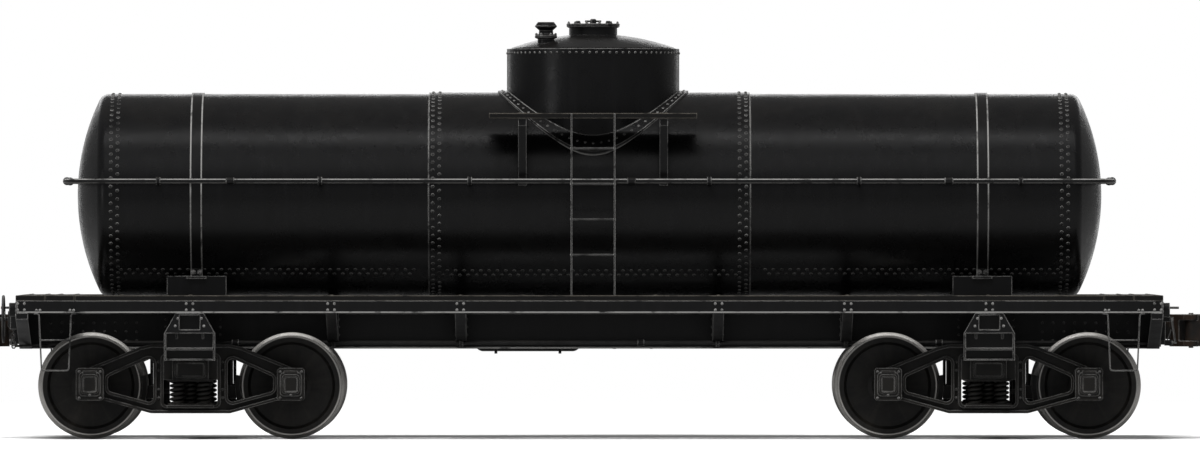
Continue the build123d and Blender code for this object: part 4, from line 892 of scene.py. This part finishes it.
# %% Bolts of the boards
bearers, bolster_x = (1.075, 2.15), 3.3275
plank_pitch, half_board = 0.247, 0.244
deck_high, ends_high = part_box("running_boards")[1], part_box("end_platforms")[1]
deck_z, board_y, end_board_x = deck_high.z, deck_high.y - half_board, ends_high.x - half_board
in_board = [plank * plank_pitch + offset for plank in (-0.5, 0.5) for offset in (-0.07, 0.07)]
board_xs = (*bearers, bolster_x, 0.55, 1.6, 2.75, 3.9)
plank_places = [((x, board_y + across, deck_z), UP) for across in in_board for x in board_xs]
plank_places += [((end_board_x + across, y, deck_z), UP) for across in in_board for y in (0.22, 0.8, 1.32)]
bracket_x = 0.59
platform_places = [
    ((bracket_x + offset, platform_high.y - across, platform_high.z), UP)
    for across in (0.08, 0.26)
    for offset in (-0.02, 0.02)
]
board_places = mirrored(plank_places) + mirrored(platform_places, dome_x)
join_copies("plank_bolts", plank_bolt, board_places, (plank_lengthwise, "car_body", "boards"))

# %% [markdown]
# ## Rivets of the frame
# The underframe is built up of channels and plates, so its rivets come where two of them meet: over
# the draft gear's stops, beside each bearer and bolster, along the cover plate, on the bearers, and
# on the end sills round the strikers. Each group is a small grid, so a few numbers give all of it.

# %% Rivets of the frame
web_y, cover_y, cover_plate_z, end_face = 0.1735, 0.2, centre_high.z, 4.775
left = (0, 1, 0)
frame_places = [((3.80 + 0.09 * k, web_y, 0.815 + 0.075 * row), left) for k in range(9) for row in range(3)]
for x, reach in ((bearers[0], 0.045), (bearers[1], 0.045), (bolster_x, 0.2275)):
    for way in (-1, 1):
        frame_places += [((x + way * reach, web_y, 0.80 + 0.065 * row), left) for row in range(4)]
for x in (0.1 * k for k in range(5, 48)):
    if abs(x - band_x) > 0.27:
        frame_places.append(((x, cover_y, cover_plate_z), UP))

striker_points = [(0.275, z) for z in (0.80, 0.86, 0.94, 1.0)] + [(0.205, z) for z in (0.83, 0.90, 0.97)]
corner_points = [(1.335, z) for z in (1.035, 1.07, 1.105, 1.135)] + [(y, 1.138) for y in (0.56, 0.68, 0.80)]
frame_places += [((end_face, y, z), (1, 0, 0)) for y, z in striker_points + corner_points]
bearer_points = [(0.27, z) for z in (0.86, 0.92, 0.98, 1.04)] + [(y, 1.06) for y in (0.62, 0.97)]
bearer_half = 0.005
for x in bearers:
    for way in (-1, 1):
        frame_places += [((x + way * bearer_half, y, z), (way, 0, 0)) for y, z in bearer_points]
join_copies("frame_rivets", small_rivet, mirrored(frame_places))

# %% [markdown]
# ## Rivets of the side sills
# A square of four rivets holds the sill at each bearer, bolster and corner, and two pairs hold each
# step. These are the car's outermost faces, so the heads are low, and the car keeps its width.

# %% Rivets of the side sills
sill_z, corner_x, step_x = (sill_low.z + sill_high.z) / 2, 4.73, 4.447
squares = [(x + offset, sill_z + rise) for x in (*bearers, bolster_x, corner_x)
           for offset in (-0.028, 0.028) for rise in (-0.026, 0.026)]
steps = [(step_x + offset, sill_low.z + 0.022) for offset in (-0.155, -0.125, 0.125, 0.155)]
bolster_ends = [
    (bolster_x + way * reach, z) for reach, z in ((0.119, 0.945), (0.0985, 1.008)) for way in (-1, 1)
]
outer_places = [((x, sill_high.y, z), left) for x, z in squares + steps + bolster_ends]
join_copies("outer_rivets", low_rivet, mirrored(outer_places))

# %% [markdown]
# ## Coil springs
# Five springs carry each end of a truck's bolster. The CAD model draws them as plain round blocks,
# so they are replaced here. A screw modifier sweeps a small circle up a helix, as a spring is wound
# from bar. Each spring has a second, finer coil of the other hand inside it, and a plate covers the
# group above and below.

# %% Coil springs
def add_modifier(piece, kind, **settings):
    """Adds a modifier with its settings and applies it."""
    clear_selection()
    piece.select_set(True)
    bpy.context.view_layer.objects.active = piece
    modifier = piece.modifiers.new(kind.title(), kind)
    for name, value in settings.items():
        setattr(modifier, name, value)
    bpy.ops.object.modifier_apply(modifier=modifier.name)


def coil(name, radius, bar, turns, height, sides, steps, way):
    """One helix of round bar, closed at both ends."""
    circle = {"vertices": sides, "radius": bar, "location": (radius, 0, 0)}
    upright = (math.radians(90), 0, 0)
    piece = start(name, bpy.ops.mesh.primitive_circle_add, rotation=upright, **circle)
    winding = {"angle": way * math.tau, "screw_offset": height / turns, "iterations": turns}
    add_modifier(piece, "SCREW", axis="Z", steps=steps, render_steps=steps, **winding)
    edit_faces(piece)
    bpy.ops.mesh.remove_doubles(threshold=0.0001)
    bpy.ops.mesh.fill_holes(sides=sides)
    return leave_edit(piece, 60)


springs_low, springs_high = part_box("truck_a_springs")
plate = 0.012
coil_height = springs_high.z - springs_low.z - 2 * plate
outer_coil = coil("outer_coil", 0.050, 0.0135, 5, coil_height, 8, 14, 1)
inner_coil = coil("inner_coil", 0.026, 0.0075, 8, coil_height, 6, 10, -1)
spring_plate = start("spring_plate", bpy.ops.mesh.primitive_cube_add, size=1, scale=(0.378, 0.288, plate))
edit_faces(spring_plate)
bpy.ops.mesh.bevel(offset=0.003, segments=1)
leave_edit(spring_plate)
print("outer coil", len(outer_coil.data.polygons), "faces")

# %% [markdown]
# ## The springs in their trucks
# One spring stands in the middle of each group and four round it. Each truck gets pieces of its own,
# because a piece rides on one body, and these turn with their truck.

# %% The springs in their trucks
truck_xs = {truck: middle("truck_" + truck + "_springs").x for truck in ("a", "b")}
spring_y, spring_pitch_x, spring_pitch_y = 0.965, 0.22, 0.148
group = ((0, 0), (-0.5, -0.5), (-0.5, 0.5), (0.5, -0.5), (0.5, 0.5))
plate_heights = (springs_low.z + plate / 2, springs_high.z - plate / 2)
for truck, truck_x in truck_xs.items():
    coils, plates = [], []
    for side in (-1, 1):
        for x, y in group:
            foot = (truck_x + x * spring_pitch_x, side * spring_y + y * spring_pitch_y, springs_low.z + plate)
            coils.append((foot, UP))
        plates += [((truck_x, side * spring_y, z), UP) for z in plate_heights]
    finish = (spring_iron, "truck_" + truck, "spring_steel")
    kinds = (("outer_coils_", outer_coil), ("inner_coils_", inner_coil), ("spring_plates_", spring_plate))
    for (name, pattern), places in zip(kinds, (coils, coils, plates)):
        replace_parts(join_copies(name + truck, pattern, places, finish), "truck_" + truck + "_springs")

# %% [markdown]
# ## Journal box lids and truck bolts
# A pressed steel lid closes each journal box. Its dished middle is an inset of the face of a bevelled
# plate, pushed in. Bolts hold the columns beside the springs, and a cast pan with a raised rim closes
# each end of the bolster.

# %% Pressed pans
def pressed_pan(name, width, height, depth, corner, rim):
    """A plate that lies on the ground plane, with rounded corners and a dished middle."""
    size = {"size": 1, "scale": (width, height, depth), "location": (0, 0, depth / 2)}
    pan = start(name, bpy.ops.mesh.primitive_cube_add, **size)
    edit_faces(pan, lambda centre, normal: False)
    bpy.ops.object.mode_set(mode="OBJECT")
    bpy.context.tool_settings.mesh_select_mode = (False, True, False)
    corners = pan.data.vertices
    for edge in pan.data.edges:
        first, second = (corners[index].co for index in edge.vertices)
        edge.select = abs(first.z - second.z) > depth / 2
    bpy.ops.object.mode_set(mode="EDIT")
    bpy.ops.mesh.bevel(offset=corner, segments=3)
    edit_faces(pan, looks_up)
    bpy.ops.mesh.inset(thickness=rim * 0.4, depth=depth * 0.25)
    bpy.ops.mesh.inset(thickness=rim)
    bpy.ops.mesh.inset(thickness=rim * 0.5, depth=-depth * 0.7)
    return leave_edit(pan, 30)


lid_pan = pressed_pan("lid_pan", 0.150, 0.166, 0.008, 0.034, 0.013)
bolster_pan = pressed_pan("bolster_pan", 0.262, 0.146, 0.010, 0.030, 0.012)
print("lid", len(lid_pan.data.polygons), "faces")

# %% [markdown]
# ## Lids, pans and bolts in their trucks
# Places are measured from a truck's middle, so one list serves both. Each journal box has a bolt
# near every corner and a latch below its lid.

# %% Lids, pans and bolts in their trucks
half_wheelbase, lid_y, lid_z, box_face = 0.8382, 1.1425, axle_z + 0.014, 1.1318
column_x, column_face = 0.2675, 0.9865
lids = [((half_wheelbase, lid_y, lid_z), left)]
pans = [((0, 1.0885, 0.580), left)]
bolts = [((half_wheelbase, lid_y, lid_z - 0.089), left)]
bolts += [((column_x, column_face, axle_z + rise), left) for rise in (0.20, 0.13, -0.03, -0.10)]
for offset in (-0.088, 0.088):
    bolts += [((half_wheelbase + offset, box_face, lid_z + rise), left) for rise in (0.105, -0.115)]
for truck, truck_x in truck_xs.items():
    finish = (truck_iron, "truck_" + truck, "truck_casting")
    join_copies("journal_lids_" + truck, lid_pan, mirrored(lids, truck_x), finish)
    join_copies("bolster_pans_" + truck, bolster_pan, mirrored(pans, truck_x), finish)
    join_copies("truck_bolts_" + truck, small_nut, mirrored(bolts, truck_x), finish)

# %% [markdown]
# ## The air line
# The brake's air comes down the whole train in a pipe under each car. At the A end it leaves beside
# the coupler on the right, and at the B end on the left, so that two cars always meet the same way
# round. It passes under the centre sill near the B end. A circle is drawn out for each straight run
# and spun for each elbow, which is how a pipe fitter thinks of it too.

# %% The air line
pipe_radius, pipe_sides, elbow = 0.0165, 12, 0.045
line_y, line_z, cross_x, cross_z, line_end = 0.36, 0.80, -4.12, 0.70, 4.83


def bend(centre, axis, angle):
    """Spins the open end of a pipe through an elbow. Seen along the axis, a positive angle turns left."""
    bpy.ops.mesh.spin(steps=6, angle=math.radians(angle), center=centre, axis=axis)


pipe = start(
    "air_line",
    bpy.ops.mesh.primitive_circle_add,
    vertices=pipe_sides,
    radius=pipe_radius,
    location=(line_end, -line_y, line_z),
    rotation=(0, math.radians(90), 0),
)
bpy.context.tool_settings.mesh_select_mode = (True, False, False)
bpy.ops.object.mode_set(mode="EDIT")
bpy.ops.mesh.select_all(action="SELECT")
drop = line_z - cross_z - 2 * elbow
draw_out(cross_x + elbow - line_end, 0, 0)
bend((cross_x + elbow, -line_y, line_z - elbow), (0, 1, 0), 90)
draw_out(0, 0, -drop)
bend((cross_x, -line_y + elbow, cross_z + elbow), (1, 0, 0), -90)
draw_out(0, 2 * (line_y - elbow), 0)
bend((cross_x, line_y - elbow, cross_z + elbow), (1, 0, 0), -90)
draw_out(0, 0, drop)
bend((cross_x - elbow, line_y, line_z - elbow), (0, 1, 0), 90)
draw_out(-line_end - (cross_x - elbow), 0, 0)
bpy.ops.mesh.select_all(action="SELECT")
bpy.ops.mesh.remove_doubles(threshold=0.0001)
bpy.ops.mesh.fill_holes(sides=pipe_sides)
leave_edit(pipe, 40)
patterns.remove(pipe)
dress(pipe)

# %% [markdown]
# ## Joints of the air line
# Threaded couplings join the lengths of pipe, and short collars line the holes in the bearers and
# the end sills. Both are short cylinders with bevelled rims. The line's two ends are alike after
# half a turn of the car, and not mirrored.

# %% Joints of the air line
def sleeve(name, radius, length, sides=12):
    """A short collar that stands on the ground plane, with bevelled rims."""
    piece = cylinder(name, sides, radius, length)
    edit_faces(piece, at_either_end)
    bpy.ops.mesh.bevel(offset=min(radius, length) * 0.16, segments=1)
    return leave_edit(piece, 40)


def at_line_ends(x, rise=0.0, tilt=0.0):
    """The places at both ends of the air line, where x is the same distance from the middle.

    They face outwards. With a tilt they face up, and outwards by that much."""
    outward, up = (tilt, 1) if tilt else (1, 0)
    return [((way * x, -way * line_y, line_z + rise), (way * outward, 0, up)) for way in (1, -1)]


coupling = sleeve("coupling", 0.026, 0.06)
collar = sleeve("collar", 0.034, 0.014)
collars = at_line_ends(line_end - 0.055)
for x in bearers:
    for end in (-1, 1):
        collars += [((end * x + way * 0.004, -line_y, line_z), (way, 0, 0)) for way in (-1, 1)]
join_copies("air_line_collars", collar, collars)
couplings = [((x, -line_y, line_z), (1, 0, 0)) for x in (-3.0, 0.4, 2.9)]
couplings.append(((cross_x, -0.03, cross_z), left))
join_copies("air_line_couplings", coupling, couplings)

# %% [markdown]
# ## Angle cocks
# An angle cock closes each end of the line. A cylinder's end is drawn out into a collar and then a
# narrower spout, and the flat handle on top is widened at its free end. Cylinders could be pushed
# into each other, but faces drawn out of one stay a single closed shell.

# %% Angle cocks
cock = cylinder("cock", 12, 0.024, 0.05)
edit_faces(cock, looks_up)
bpy.ops.mesh.inset(thickness=-0.008)
draw_out(0, 0, 0.016)
bpy.ops.mesh.inset(thickness=0.012)
draw_out(0, 0, 0.012)
leave_edit(cock, 40)
join_copies("angle_cocks", cock, at_line_ends(line_end - 0.012))

blade = {"size": 1, "scale": (0.026, 0.010, 0.095), "location": (0, 0, 0.05)}
handle = start("cock_handle", bpy.ops.mesh.primitive_cube_add, **blade)
edit_faces(handle, looks_up)
bpy.ops.transform.resize(value=(1.35, 0.8, 1.0))
edit_faces(handle)
bpy.ops.mesh.bevel(offset=0.0025, segments=1)
leave_edit(handle)
join_copies("cock_handles", handle, at_line_ends(line_end + 0.012, 0.018, 0.35))

# %% [markdown]
# ## Pipe joints of the handrail
# The rail is several lengths of pipe screwed together, with a sleeve over each joint. The function
# that made the air line's collars makes this too, longer and rounder.

# %% Pipe joints of the handrail
sleeve_length, rail_y = 0.075, rail_high.y - 0.021
rail_sleeve = sleeve("rail_sleeve", 0.028, sleeve_length, 16)
sleeve_feet = [(x - sleeve_length / 2, side * rail_y, rail_z) for x in (-3.0, 0.35, 3.0) for side in (-1, 1)]
join_copies("rail_sleeves", rail_sleeve, [(foot, (1, 0, 0)) for foot in sleeve_feet])

# %% [markdown]
# ## The handbrake's chain
# A chain of round links hangs from the gear case and pulls a rod, which passes under the end sill
# and into the centre sill. A link is a torus drawn out long in edit mode, and every second one is
# turned by a quarter. The rod is a cylinder with its ends bevelled, and the last link is its eye.

# %% The handbrake's chain
torus = {"major_radius": 0.017, "minor_radius": 0.0055, "major_segments": 12, "minor_segments": 6}
link = start("link", bpy.ops.mesh.primitive_torus_add, rotation=(math.radians(90), 0, 0), **torus)
edit_faces(link, lambda centre, normal: centre.z > 0)
bpy.ops.transform.translate(value=(0, 0, 0.010))
leave_edit(link, 60)
quarter = link.copy()
quarter.data = link.data.copy()
quarter.data.transform(Matrix.Rotation(math.radians(90), 4, "Z"))
patterns.append(quarter)

chain_x, chain_y, chain_top, chain_pitch = -4.818, -0.70, 0.925, 0.033
rod_eye = Vector((chain_x, chain_y, 0.773))
rod_hole = Vector((-4.385, -0.165, 0.79))
pull = rod_hole - rod_eye
drops = [((chain_x, chain_y, chain_top - chain_pitch * k), UP) for k in range(5)]
join_copies("brake_chain_links", link, drops[::2])
join_copies("brake_chain_turned_links", quarter, drops[1::2] + [(rod_eye, pull)])

eye_length = 0.028
rod = cylinder("pull_rod", 12, 0.0095, pull.length - eye_length, eye_length)
edit_faces(rod, at_either_end)
bpy.ops.mesh.bevel(offset=0.003, segments=1)
leave_edit(rod, 40)
join_copies("handbrake_rod", rod, [(rod_eye, pull)])
join_copies("handbrake_rod_collar", collar, [((rod_hole.x, -web_y, rod_hole.z), (0, -1, 0))])

# %% [markdown]
# ## Putting the patterns away
# The patterns stand at the origin and belong to no body, so they are removed.

# %% Putting the patterns away
for pattern in patterns:
    bpy.data.objects.remove(pattern)

# %% [markdown]
# ## Floor
# The picture stands on plain white. A wide disc is the floor. The sun lights it to just past white,
# so that only the car's shadow shows on it, and far out it turns into the colour of the world, so
# that no horizon shows. From below it is clear. To the paint, floor and world look dark, as black
# card round a studio set does.

# %% Floor
WHITE = (1, 1, 1, 1)
floor_radius, fade_start, fade_end = 60.0, 12.0, 30.0
disc = {"vertices": 96, "radius": floor_radius, "fill_type": "NGON"}
clear_selection()
bpy.ops.mesh.primitive_circle_add(location=(0, 0, -0.002), **disc)
floor = bpy.context.object
floor.name = "floor"
pale, tree, shader = new_material("pale_floor")
seen = add_node(tree, "LightPath").outputs["Is Camera Ray"]
join(blend(seen, (0.25, 0.25, 0.25, 1), (0.9, 0.9, 0.9, 1)), shader.inputs["Base Color"])
shader.inputs["Roughness"].default_value = 0.9
shader.inputs["Specular IOR Level"].default_value = 0.0
far = spread(vector_node("LENGTH", object_place(tree))["Value"], fade_start, fade_end)
glow = add_node(tree, "Emission", {"Color": WHITE, "Strength": spread(seen, 0.0, 1.0, 0.2, 1.0)})
ground = add_node(tree, "MixShader", {0: far, 1: shader.outputs[0], 2: glow.outputs[0]})
clear = add_node(tree, "BsdfTransparent")
under = add_node(tree, "NewGeometry").outputs["Backfacing"]
both_sides = add_node(tree, "MixShader", {0: under, 1: ground.outputs[0], 2: clear.outputs[0]})
join(both_sides.outputs[0], tree.nodes["Material Output"].inputs["Surface"])
floor.data.materials.append(pale)

# %% [markdown]
# ## Light
# Black paint shows its shape only by what it mirrors. So the soft sun makes no highlight, and leaves
# that to a few long soft boxes: one draws a line along the tank's shoulder and a broad dim one
# softens it, one rims the far edge, and upright ones at the ends round the heads.

# %% Light
def turned_to(place, target):
    """The turn of a lamp or camera that looks from a place to a target."""
    return (Vector(target) - Vector(place)).to_track_quat("-Z", "Y").to_euler()


def soft_box(name, place, size, brightness):
    """A rectangular lamp that looks at the tank, of a given brightness whatever its size."""
    lamp = bpy.data.lights.new(name, "AREA")
    lamp.shape = "RECTANGLE"
    lamp.size, lamp.size_y = size
    lamp.energy = brightness * math.pi * size[0] * size[1]
    holder = bpy.data.objects.new(name, lamp)
    bpy.context.scene.collection.objects.link(holder)
    holder.location = place
    holder.rotation_euler = turned_to(place, (0, 0, tank_z))
    print("lamp", name, round(lamp.energy), "W")


sun = bpy.data.objects.new("sun", bpy.data.lights.new("sun", "SUN"))
sun.data.energy = 4.0
sun.data.angle = math.radians(28)
sun.rotation_euler = turned_to((-1.5, -4.0, 8.0), (0, 0, 0))
sun.visible_glossy = False
bpy.context.scene.collection.objects.link(sun)

soft_box("shoulder", (0, -3.2, 9.0), (16.0, 0.8), 2.6)
soft_box("broad", (0, -8.0, 8.0), (18.0, 4.0), 0.35)
soft_box("far_edge", (0, 8.0, 5.0), (16.0, 1.5), 2.4)
soft_box("left_front", (-13.0, -9.0, 3.2), (1.2, 5.0), 3.0)
soft_box("left_back", (-8.0, 16.0, 2.6), (2.0, 6.0), 1.2)
soft_box("right_back", (8.0, 16.0, 2.6), (2.0, 6.0), 1.2)

# %% [markdown]
# ## The world
# The camera sees the world as white, like the paper round a drawing. The paint sees it dim, so that
# the black stays black between the lines of light.

# %% World
world = bpy.data.worlds.new("studio")
bpy.context.scene.world = world
world.use_nodes = True
tree = world.node_tree
seen = add_node(tree, "LightPath").outputs["Is Camera Ray"]
sky = add_node(tree, "Background", {"Color": WHITE, "Strength": spread(seen, 0.0, 1.0, 0.15, 1.0)})
join(sky.outputs[0], tree.nodes["World Output"].inputs["Surface"])
bpy.context.scene.view_settings.view_transform = "Standard"
print("world", world.name)
